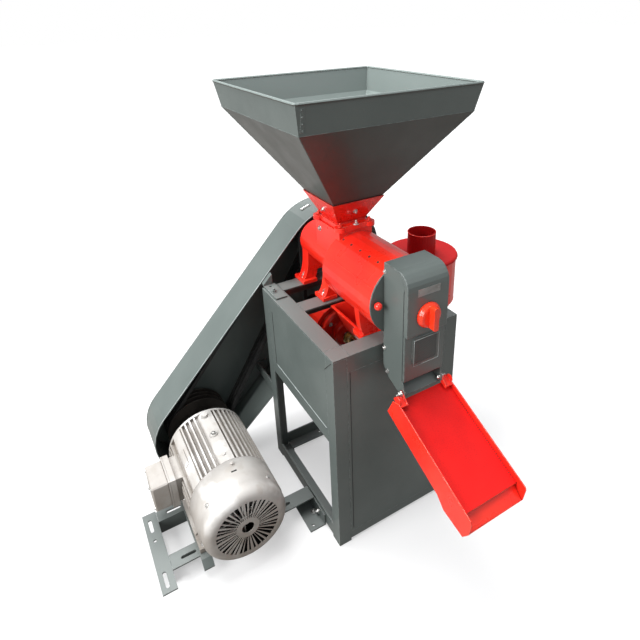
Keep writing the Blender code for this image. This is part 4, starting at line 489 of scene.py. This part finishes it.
def tube(name, body, points, radius, slot="grey_enamel", closed=False, radii=None, finish=None):
    """A round bead along points, with an uneven radius if one is given for each point."""
    curve = bpy.data.curves.new(name, "CURVE")
    curve.dimensions = "3D"
    curve.bevel_depth = radius
    curve.bevel_resolution = 2
    curve.use_fill_caps = True
    spline = curve.splines.new("POLY")
    spline.points.add(len(points) - 1)
    for number, (point, spot) in enumerate(zip(spline.points, points)):
        point.co = (*spot, 1.0)
        point.radius = radii[number] if radii else 1.0
    spline.use_cyclic_u = closed
    return add(name, curve, body, slot, finish)


def weld(name, body, start, end, radius=0.0018, slot="grey_enamel"):
    """A weld bead between two points: overlapping ripples."""
    run = end - start
    count = max(6, int(run.length / 0.0022))
    points = [start + run * i / count for i in range(count + 1)]
    radii = [0.78 + 0.22 * math.sin(2.4 * i) + 0.10 * math.sin(0.71 * i + 1.0) for i in range(count + 1)]
    return tube(name, body, points, radius, slot, radii=radii)


def circle(centre, radius, across, along, steps=48):
    """Points round a circle in the plane of two directions."""
    turn = [2 * math.pi * i / steps for i in range(steps)]
    return [centre + across * radius * math.cos(a) + along * radius * math.sin(a) for a in turn]


def lying(centre, direction, across):
    """The matrix that lays a plate drawn flat on a surface, facing one direction and reaching across."""
    along = direction.cross(across).normalized()
    return Matrix.Translation(centre) @ Matrix((across, along, direction)).transposed().to_4x4()


def pad(name, body, centre, direction, across, size, slot, finish=None, corner=0.2):
    """A low plate with rounded corners and softened upper edges, lying on a surface."""
    matrix = lying(centre, direction, across)
    width, height, thick = size
    shape = bmesh.new()
    bmesh.ops.create_cube(shape, size=1.0, matrix=matrix @ Matrix.Diagonal((width, height, thick, 1.0)))
    upright = [e for e in shape.edges if abs((e.verts[0].co - e.verts[1].co).dot(direction)) > thick * 0.9]
    soft = {"segments": 3, "profile": 0.5, "affect": "EDGES", "material": -1}
    bmesh.ops.bevel(shape, geom=upright, offset=min(width, height) * corner, **soft)
    top = max(v.co.dot(direction) for v in shape.verts) - thick * 0.1
    upper = [e for e in shape.edges if all(v.co.dot(direction) > top for v in e.verts)]
    bmesh.ops.bevel(shape, geom=upper, offset=thick * 0.3, **soft)
    return from_shape(name, shape, body, slot, finish)


def bare_plate(name, body, centre, direction, across, size, slot="bright_steel", finish=None):
    """A thin bare plate with a raised border and two rivets, where the machine carries a label."""
    matrix = lying(centre, direction, across)
    width, height = size
    shape = bmesh.new()
    bmesh.ops.create_cube(shape, size=1.0, matrix=matrix @ Matrix.Diagonal((width, height, 0.0010, 1.0)))
    face = max(shape.faces, key=lambda f: f.normal.dot(direction))
    bmesh.ops.inset_individual(shape, faces=[face], thickness=0.0016, depth=0.0)
    bmesh.ops.translate(shape, vec=direction * -0.0004, verts=list(face.verts))
    for side in (-1, 1):
        spot = centre + across * side * (width / 2 - 0.0042) + direction * 0.0002
        ring_cone(shape, facing(spot, direction), 12, 0.0, 0.0007, 0.0013, 0.0008)
    return from_shape(name, shape, body, slot, finish)


def fit_drum():
    """Foot bolts, grease bolt, casting seams, neck bolts and painted shade in the depth of the drum's ports.
    """
    sides = (-1, 1)
    feet = [(at(MILL_X + side * 0.054, y, RING_TOP + 0.0098), UP) for y in (0.34825, 0.238) for side in sides]
    bolts("drum_foot_bolts", "machine", 0.0062, feet, stud=0.9)
    ears = [(at(MILL_X + sx * 0.039, FEED_Y + sy * 0.051, FLANGE_TOP), UP) for sx in sides for sy in sides]
    bolts("neck_ear_bolts", "machine", 0.0048, ears, "red_enamel", stud=0.7)
    flange = [(at(MILL_X, FEED_Y + side * 0.0559, FLANGE_TOP), UP) for side in sides]
    bolts("neck_flange_bolts", "machine", 0.0052, flange, stud=0.9)
    lean = math.atan2(FUNNEL_MOUTH[0] - FUNNEL_FOOT[0], FUNNEL_MOUTH[1] - FUNNEL_FOOT[1])
    walls = []
    for way, reach in ((FRONT, 0.0536), (LEFT, 0.0518), (BACK, 0.0536), (RIGHT, 0.0518)):
        spot = at(MILL_X, FEED_Y, FUNNEL_BOLT_Z) + way * reach
        walls.append((spot, way * math.cos(lean) - UP * math.sin(lean)))
    bolts("funnel_bolts", "machine", 0.0044, walls, stud=0.6)
    bolts("grease_bolt", "machine", 0.0046, [(at(0.122, 0.2631, 0.7251), LEFT)], stud=0.2)
    shape = bmesh.new()
    out = ray(90 + PORT_ANGLE)
    for y in PORT_YS:
        deep = at(MILL_X, y, DRUM_Z) + out * (DRUM_R - 0.0013)
        ring_cone(shape, facing(deep, out), 16, 0.0, 0.0008, 0.0029, 0.0029)
    # Dark discs at the bottom of the ports: painted shade
    from_shape("port_depths", shape, "machine", "red_enamel", GAP)
    for side, turn in (("left", 152), ("right", 28)):
        seam = [at(MILL_X, y, DRUM_Z) + ray(turn) * DRUM_R for y in (-0.006, 0.150)]
        tube(f"drum_seam_{side}", "machine", seam, 0.0007, "red_enamel")


def guard_outline(y):
    """Points round the guard's open edge, from its two end circles."""
    low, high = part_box("guard_shell")
    low_r, top_r = GUARD_RADII
    low_at = Vector((low.x + low_r, low.z + low_r))
    top_at = Vector((high.x - top_r, high.z - top_r))
    run = top_at - low_at
    heading = math.atan2(run.y, run.x)
    side = math.pi / 2 + math.asin((top_r - low_r) / run.length)
    steps = 32
    points = []
    for centre, radius, start, sweep in ((top_at, top_r, heading - side, 2 * side),
                                         (low_at, low_r, heading + side, 2 * (math.pi - side))):
        for i in range(steps + 1):
            angle = start + sweep * i / steps
            x, z = centre.x + radius * math.cos(angle), centre.y + radius * math.sin(angle)
            points.append(Vector((x, y, z)))
    return points


def fit_guard():
    """The guard's hemmed edge, back seam, bracket bolt and bare label plate."""
    low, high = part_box("guard_shell")
    inset = Vector((0, 0.0012, 0))
    hem = [p + inset for p in guard_outline(low.y)]
    # The pale hem bead is painted highlight and wear along the guard's open edge
    tube("guard_hem", "machine", hem, 0.0012, closed=True, finish=HEM_HIGHLIGHT_AND_WEAR)
    tube("guard_back_seam", "machine", guard_outline(high.y - 0.0012), 0.0011, closed=True)
    bolts("bracket_bolts", "machine", 0.0060, [(at(0.0143, 0.3237, 0.5543), UP)], "grey_enamel", stud=0.6)
    tilt = 19
    label = at(0.1715, 0.4390, 0.7142)
    bare_plate("guard_label_plate", "machine", label, ray(90 + tilt), ray(tilt), (0.028, 0.010))


def fit_hopper():
    """Corner welds of the hopper's cone and band, and spot welds at the laps."""
    corners = [(sx, sy) for sx in (-1, 1) for sy in (-1, 1)]
    band = [at(MILL_X + sx * 0.199, FEED_Y + sy * 0.199, 1.008) for sx, sy in corners]
    foot = [at(MILL_X + sx * 0.0640, FEED_Y + sy * 0.0690, 0.8185) for sx, sy in corners]
    for number, (start, end) in enumerate(zip(foot, band)):
        weld(f"hopper_corner_{number}", "machine", start, end, 0.0013)
    for number, (i, j) in enumerate(((0, 1), (1, 3), (3, 2), (2, 0))):
        tube(f"hopper_fold_{number}", "machine", [band[i], band[j]], 0.0008)
    lean = math.atan2(0.0098, 0.0449)
    front = Vector((0, -math.cos(lean), -math.sin(lean)))
    lap = (0.0075, 0.044, 0.0010)
    pad("hopper_lap", "machine", at(-0.0275, 0.0214, 1.0356), front, RIGHT, lap, "grey_enamel")
    shape = bmesh.new()
    for row in range(4):
        rise = 0.012 * (row - 1.5)
        spot = at(-0.0275 - rise * 0.10, 0.0208 - rise * math.tan(lean), 1.0356 + rise)
        ring_cone(shape, facing(spot, front), 12, -0.0004, 0.0012, 0.0024, 0.0012)
    from_shape("hopper_spot_welds", shape, "machine", "grey_enamel")


def fit_head():
    """Side bolts, the bare label plate, the window's mesh and the cover seam of the discharge head."""
    spots = ((-0.0158, 0.7305), (-0.0160, 0.5510), (-0.0280, 0.4985))
    places = [(at(MILL_X - HEAD_HALF, y, z), LEFT) for y, z in spots]
    places += [(at(MILL_X + HEAD_HALF, y, z), RIGHT) for y, z in spots]
    bolts("head_side_bolts", "machine", 0.0034, places, stud=0.2)
    label = at(MILL_X + 0.0005, -0.0912, 0.7085)
    bare_plate("head_label_plate", "machine", label, FRONT, RIGHT, (0.054, 0.0155), finish=TIN)
    window = at(MILL_X + 0.0005, -0.0864, 0.5725)
    mesh_size = (0.0575, 0.0575, 0.0008)
    pad("head_window_mesh", "machine", window, FRONT, RIGHT, mesh_size, "grey_enamel", MESH, 0.1)
    corners = ((-0.031, 0.542), (0.032, 0.542), (0.032, 0.603), (-0.031, 0.603))
    border = [at(MILL_X + side, -0.0908, z) for side, z in corners]
    # The pale border bead is painted highlight and wear
    tube("head_window_border", "machine", border, 0.0007, closed=True, finish=HEM_HIGHLIGHT_AND_WEAR)
    for name, side in (("left", -1), ("right", 1)):
        rear = [at(MILL_X + side * (HEAD_HALF + 0.0001), -0.0787, z) for z in (0.507, 0.714)]
        tube(f"head_{name}_seam", "machine", rear, 0.0006, finish=GAP)
    seam = [at(MILL_X + side * (HEAD_HALF - 0.0008), -0.0853, DRUM_Z - 0.0408) for side in (-1, 1)]
    tube("head_cover_seam", "machine", seam, 0.0007, finish=GAP)


def chute_spot(x, u, v):
    """A point of the chute: across, down the slope from the hinge, and above it."""
    slope = math.radians(CHUTE_SLOPE)
    y = HINGE[0] - u * math.cos(slope) - v * math.sin(slope)
    return at(x, y, HINGE[1] - u * math.sin(slope) + v * math.cos(slope))


def fit_chute():
    """Hinge bolts and their heads, hemmed wall tops, dark discs of painted shade in the sieve's edge holes
    and the folded nose.
    """
    out = HEAD_HALF + 0.0031
    places = [(at(MILL_X - out, *HINGE), LEFT), (at(MILL_X + out, *HINGE), RIGHT)]
    bolts("hinge_nuts", "machine", 0.0052, places, stud=1.3)
    inside = HEAD_HALF - 0.0020
    places = [(at(MILL_X - inside, *HINGE), RIGHT), (at(MILL_X + inside, *HINGE), LEFT)]
    bolts("hinge_heads", "machine", 0.0046, places, stud=0.1)
    for name, x in (("left", MILL_X - 0.0692), ("right", MILL_X + 0.0692)):
        tube(f"chute_hem_{name}", "chute_group", [chute_spot(x, 0.030, 0.0), chute_spot(x, 0.2585, 0.0)],
             0.0011, "red_enamel")
    shape = bmesh.new()
    up = chute_spot(0, 0, 1) - chute_spot(0, 0, 0)
    for number in range(36):
        spot = chute_spot(MILL_X + 0.0655, 0.060 + number * 0.0049, -0.0130)
        ring_cone(shape, facing(spot, up), 8, -0.0003, 0.0002, 0.0011, 0.0010)
    # Dark discs: painted shade in the holes
    from_shape("sieve_edge_holes", shape, "chute_group", "red_enamel", GAP)
    down = chute_spot(0, 1, 0) - chute_spot(0, 0, 0)
    tilted = chute_spot(0, 0.357, 0.934) - chute_spot(0, 0, 0)
    fold = chute_spot(MILL_X, 0.2430, -0.0188)
    size = (0.135, 0.0095, 0.0010)
    pad("sieve_end_fold", "chute_group", fold, down, RIGHT, size, "red_enamel", corner=0.03)
    nose = chute_spot(MILL_X, 0.2565, -0.0290)
    size = (0.135, 0.0290, 0.0012)
    pad("chute_nose_plate", "chute_group", nose, tilted.normalized(), RIGHT, size, "red_enamel", corner=0.03)


def fit_motor():
    """Screws, foot bolts, strip bosses, a dark pad of painted shade for the cowl's slot and the bare rating
    plate of the motor.
    """
    x, z = MOTOR_AXIS
    screws = [(at(x, 0.098, z) + ray(turn) * MOTOR_R, ray(turn)) for turn in (45, 135, 225, 315)]
    bolts("cowl_screws", "machine", 0.0036, screws, stud=0.1)
    feet = [(at(x + side * 0.085, 0.140, 0.0575), UP) for side in (-1, 1)]
    feet += [(at(x + side * 0.091, 0.283, 0.0572), UP) for side in (-1, 1)]
    bolts("motor_foot_bolts", "machine", 0.0068, feet, stud=0.9)
    low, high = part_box("terminal_lid")
    heights = (low.z + 0.012, high.z - 0.012)
    lid = [(Vector((low.x, y, z1)), LEFT) for y in (low.y + 0.012, high.y - 0.012) for z1 in heights]
    bolts("lid_screws", "machine", 0.0028, lid, stud=0.05)
    bolts("strip_screw", "machine", 0.0050, [(at(x, 0.263, z + MOTOR_R + 0.0030), UP)], stud=0.2)
    shape = bmesh.new()
    bosses = (
        (0.263, 0.0042, 0.0105, 0.0085),
        (0.190, 0.0030, 0.0065, 0.0050),
        (0.338, 0.0075, 0.0100, 0.0080),
    )
    for y, rise, low_r, high_r in bosses:
        ring_cone(shape, facing(at(x, y, z + MOTOR_R - 0.001), UP), 24, 0.0, rise, low_r, high_r)
    from_shape("strip_bosses", shape, "machine", "motor_paint")
    top = Vector((0.05, 0, 1)).normalized()
    slot = (0.0045, 0.0130, 0.0004)
    # Dark pad: painted shade in the cowl's slot
    pad("cowl_slot", "machine", at(-0.1971, 0.1290, 0.2464), top, BACK, slot, "motor_paint", GAP)
    bolts("cowl_top_screw", "machine", 0.0044, [(at(-0.1940, 0.1509, 0.2461), top)], "motor_paint", stud=0.1)
    out = ray(140)
    plate = at(x, 0.262, z) + out * (MOTOR_R + 0.0006)
    bare_plate("motor_rating_plate", "machine", plate, out, BACK, (0.052, 0.013), "motor_paint")


def fit_cowl():
    """The pressed fan cowl in one shell: an eye, wedge slots between ribs, a round edge and a step."""
    x, z = MOTOR_AXIS
    front, seam, rear = COWL_Y
    wide_r = MOTOR_R - 0.0001
    face_r = wide_r - COWL_STEP
    rim_r = face_r - COWL_EDGE_R
    profile = [(GRILLE_R[0], 0.0), (GRILLE_R[1], 0.0), (rim_r, 0.0)]
    first_round = len(profile)
    for step in range(1, COWL_EDGE_STEPS + 1):
        turn = math.pi / 2 * step / COWL_EDGE_STEPS
        profile.append((rim_r + COWL_EDGE_R * math.sin(turn), -COWL_EDGE_R * (1 - math.cos(turn))))
    profile += [(face_r, front - seam), (wide_r, front - seam - COWL_STEP), (wide_r, front - rear)]
    shape = bmesh.new()
    radius, height = GRILLE_EYE_R, 0.0
    steps = GRILLE_SLOTS * SLOT_STEPS
    bmesh.ops.create_circle(shape, segments=steps, radius=radius)
    rim = list(shape.edges)
    bands = []
    for number, (next_r, next_h) in enumerate(profile):
        made = bmesh.ops.extrude_edge_only(shape, edges=rim)["geom"]
        verts = [item for item in made if isinstance(item, bmesh.types.BMVert)]
        faces = [item for item in made if isinstance(item, bmesh.types.BMFace)]
        grow = next_r / radius
        bmesh.ops.scale(shape, vec=(grow, grow, 1.0), verts=verts)
        bmesh.ops.translate(shape, vec=(0.0, 0.0, next_h - height), verts=verts)
        ring = set(verts)
        rim = [edge for edge in shape.edges if ring.issuperset(edge.verts)]
        radius, height = next_r, next_h
        for face in faces:
            face.smooth = number >= first_round
        bands.append(faces)
    holes = []
    for face in bands[1]:
        centre = face.calc_center_median()
        turn = math.atan2(centre.y, centre.x) % (2 * math.pi)
        if int(turn * steps / (2 * math.pi)) % SLOT_STEPS < OPEN_STEPS:
            holes.append(face)
    bmesh.ops.delete(shape, geom=holes, context="FACES")
    bmesh.ops.transform(shape, matrix=facing(at(x, front, z), FRONT), verts=shape.verts)
    cowl = from_shape("fan_cowl", shape, "machine", "motor_paint")
    wall = cowl.modifiers.new("wall", "SOLIDIFY")
    wall.thickness = COWL_WALL
    wall.offset = -1.0
    # Inner walls take the dark finish: painted shade inside the cowl
    wall.material_offset = 1
    cowl.data.materials.append(GAP)
    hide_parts("motor_fan_cowl")


def fit_blower():
    """Brass nut on the blower's shaft, hub bolts and the volute's flange seam."""
    x, z = BLOWER_AXIS
    nut = [(at(x, 0.2010, z), FRONT)]
    bolts("blower_shaft_nut", "blower_shaft_group", 0.0125, nut, finish=BRASS, stud=0.9)
    turns = (0.8, 2.4, 3.9, 5.5)
    spots = [(at(x + 0.046 * math.cos(a), 0.2352, z + 0.046 * math.sin(a)), FRONT) for a in turns]
    bolts("blower_hub_bolts", "machine", 0.0042, spots, stud=0.3)
    seam = circle(at(x, 0.2515, z), 0.0587, RIGHT, UP)
    tube("blower_face_seam", "machine", seam, 0.0014, "red_enamel", closed=True)


def fit_cyclone():
    """Rolled edges, the barrel's and pipe's seams and the bracket's bolts of the cyclone."""
    low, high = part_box("cyclone_lid")
    body_low, body_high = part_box("cyclone_body")
    centre = (low + high) / 2
    centre.z = 0.0
    roll = circle(centre + UP * (high.z - 0.0012), 0.0384, RIGHT, BACK)
    tube("pipe_roll", "machine", roll, 0.0011, "red_enamel", closed=True)
    barrel_r = (body_high.x - body_low.x) / 2
    fold = circle(centre + UP * 0.4452, barrel_r - 0.0006, RIGHT, BACK, 64)
    tube("cone_fold", "machine", fold, 0.0012, "red_enamel", closed=True)
    seams = (("barrel", 250, barrel_r, 0.448, body_high.z - 0.008), ("pipe", 300, 0.0388, 0.584, 0.640))
    for name, turn, radius, start, end in seams:
        out = Vector((math.cos(math.radians(turn)), math.sin(math.radians(turn)), 0)) * radius
        foot, top = centre + out + UP * start, centre + out + UP * end
        weld(f"{name}_weld", "machine", foot, top, 0.0011, "red_enamel")
    bracket_low, bracket_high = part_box("cyclone_bracket")
    face = bracket_low.x + 0.0048
    ends = (bracket_low.y + 0.0075, bracket_high.y - 0.0075)
    middle = (bracket_low.z + bracket_high.z) / 2
    bolts("cyclone_bracket_bolts", "machine", 0.0052, [(Vector((face, y, middle)), RIGHT) for y in ends])


def fit_frame():
    """Weld beads at the frame's joints, the panels' open seams and the bolts through the base."""
    width, depth = FRAME_SIZE
    inner = 0.041
    joints = [(x, y) for x in (inner, width - inner) for y in (0.001, depth - inner)]
    for number, (x, y) in enumerate(joints):
        start = at(x, y + 0.002, RING_TOP)
        weld(f"ring_weld_{number}", "machine", start, start + BACK * 0.036, 0.0007)
    seams = {
        "panel_back": (at(PANEL_FACE, 0.3130, 0.5060), at(PANEL_FACE, 0.3114, 0.3488)),
        "panel_corner": (at(PANEL_FACE, 0.0076, 0.5414), at(PANEL_FACE, 0.0380, 0.5085)),
        "panel_front_left": (at(0.0400, PANEL_FACE, 0.5080), at(0.0400, PANEL_FACE, 0.0400)),
    }
    for name, (start, end) in seams.items():
        tube(f"{name}_seam", "machine", [start, end], 0.0007, finish=GAP)
    # The pale fold bead is painted highlight and wear along the rail's top edge
    fold = [at(PANEL_FACE, 0.3054, 0.3462), at(PANEL_FACE, 0.0394, 0.3455)]
    tube("rail_fold", "machine", fold, 0.0009, finish=HEM_HIGHLIGHT_AND_WEAR)
    plate = (0.036, 0.036, 0.004)
    pad("leg_foot_plate", "machine", at(0.0205, 0.3460, 0.0030), UP, RIGHT, plate, "grey_enamel")
    bolts("base_foot_bolts", "machine", 0.0052, [(at(-0.0108, 0.118, 0.0043), UP)], stud=0.5)
    bolts("base_rail_bolt", "machine", 0.0046, [(at(-0.0043, 0.105, 0.0139), LEFT)], stud=0.3)


def floor_paper():
    """Pale paper that fades to white far off, and throws only a little warm light back at the machine."""
    paper = bpy.data.materials.new("floor paper")
    paper.use_nodes = True
    tree = paper.node_tree
    tree.nodes.clear()
    place = node(tree, "ShaderNodeTexCoord").outputs["Object"]
    away = node(tree, "ShaderNodeVectorMath", [("operation", "LENGTH")], i0=place).outputs["Value"]
    glow = ranged(tree, away, 0.9, 3.5, 0.42, 1.0)
    sheet = node(tree, "ShaderNodeBsdfDiffuse", Color=(0.45, 0.45, 0.45, 1.0))
    light = node(tree, "ShaderNodeEmission", Strength=glow)
    seen = node(tree, "ShaderNodeAddShader", i0=sheet.outputs[0], i1=light.outputs[0])
    thrown = node(tree, "ShaderNodeBsdfDiffuse", Color=(0.17, 0.155, 0.14, 1.0))
    path = node(tree, "ShaderNodeLightPath")
    mirror = multiplied(tree, path.outputs["Is Glossy Ray"], 0.25)
    either = node(tree, "ShaderNodeMath", [("operation", "ADD"), ("use_clamp", True)],
                  i0=path.outputs["Is Camera Ray"], i1=mirror)
    mix = node(tree, "ShaderNodeMixShader", i0=either.outputs[0], i1=thrown.outputs[0], i2=seen.outputs[0])
    node(tree, "ShaderNodeOutputMaterial", Surface=mix.outputs[0])
    return paper


def studio_floor():
    """The pale floor that the machine stands on."""
    mesh = bpy.data.meshes.new("floor")
    shape = bmesh.new()
    bmesh.ops.create_grid(shape, x_segments=1, y_segments=1, size=FLOOR_HALF)
    shape.to_mesh(mesh)
    shape.free()
    floor = bpy.data.objects.new("floor", mesh)
    bpy.context.scene.collection.objects.link(floor)
    floor.location.z = -0.0004
    mesh.materials.append(floor_paper())


def studio_world():
    """A white backdrop seen by the camera alone, and soft light from all round."""
    world = bpy.data.worlds.new("studio")
    bpy.context.scene.world = world
    world.use_nodes = True
    tree = world.node_tree
    tree.nodes.clear()
    seen = node(tree, "ShaderNodeBackground", Color=(1.0, 1.0, 1.0, 1.0), Strength=1.0)
    soft = node(tree, "ShaderNodeBackground", Color=(0.92, 0.96, 1.0, 1.0), Strength=0.42)
    path = node(tree, "ShaderNodeLightPath")
    camera_ray = path.outputs["Is Camera Ray"]
    mix = node(tree, "ShaderNodeMixShader", i0=camera_ray, i1=soft.outputs[0], i2=seen.outputs[0])
    node(tree, "ShaderNodeOutputWorld", Surface=mix.outputs[0])


def studio_lamps():
    """The soft lamps, all turned to the middle of the machine."""
    for name, spot, size, power in LAMPS:
        lamp = bpy.data.lights.new(name, "AREA")
        lamp.size = size
        lamp.energy = power
        made = bpy.data.objects.new(name, lamp)
        bpy.context.scene.collection.objects.link(made)
        made.location = spot
        made.rotation_euler = (Vector((0, 0, 0.5)) - Vector(spot)).to_track_quat("-Z", "Y").to_euler()


def camera():
    """The camera of the photograph."""
    lens = bpy.data.cameras.new("camera")
    lens.lens = CAMERA_LENS
    lens.shift_x, lens.shift_y = CAMERA_SHIFT
    made = bpy.data.objects.new("camera", lens)
    bpy.context.scene.collection.objects.link(made)
    yaw = Matrix.Rotation(math.radians(CAMERA_YAW), 4, "Z")
    pitch = Matrix.Rotation(math.radians(90 + CAMERA_PITCH), 4, "X")
    roll = Matrix.Rotation(math.radians(CAMERA_ROLL), 4, "Z")
    made.matrix_world = Matrix.Translation(at(*CAMERA_AT)) @ yaw @ pitch @ roll
    bpy.context.scene.camera = made


dress_nodes()
fit_drum()
fit_guard()
fit_hopper()
fit_head()
fit_chute()
fit_motor()
fit_cowl()
fit_blower()
fit_cyclone()
fit_frame()
studio_floor()
studio_world()
studio_lamps()
camera()
bpy.context.scene.view_settings.view_transform = "Standard"
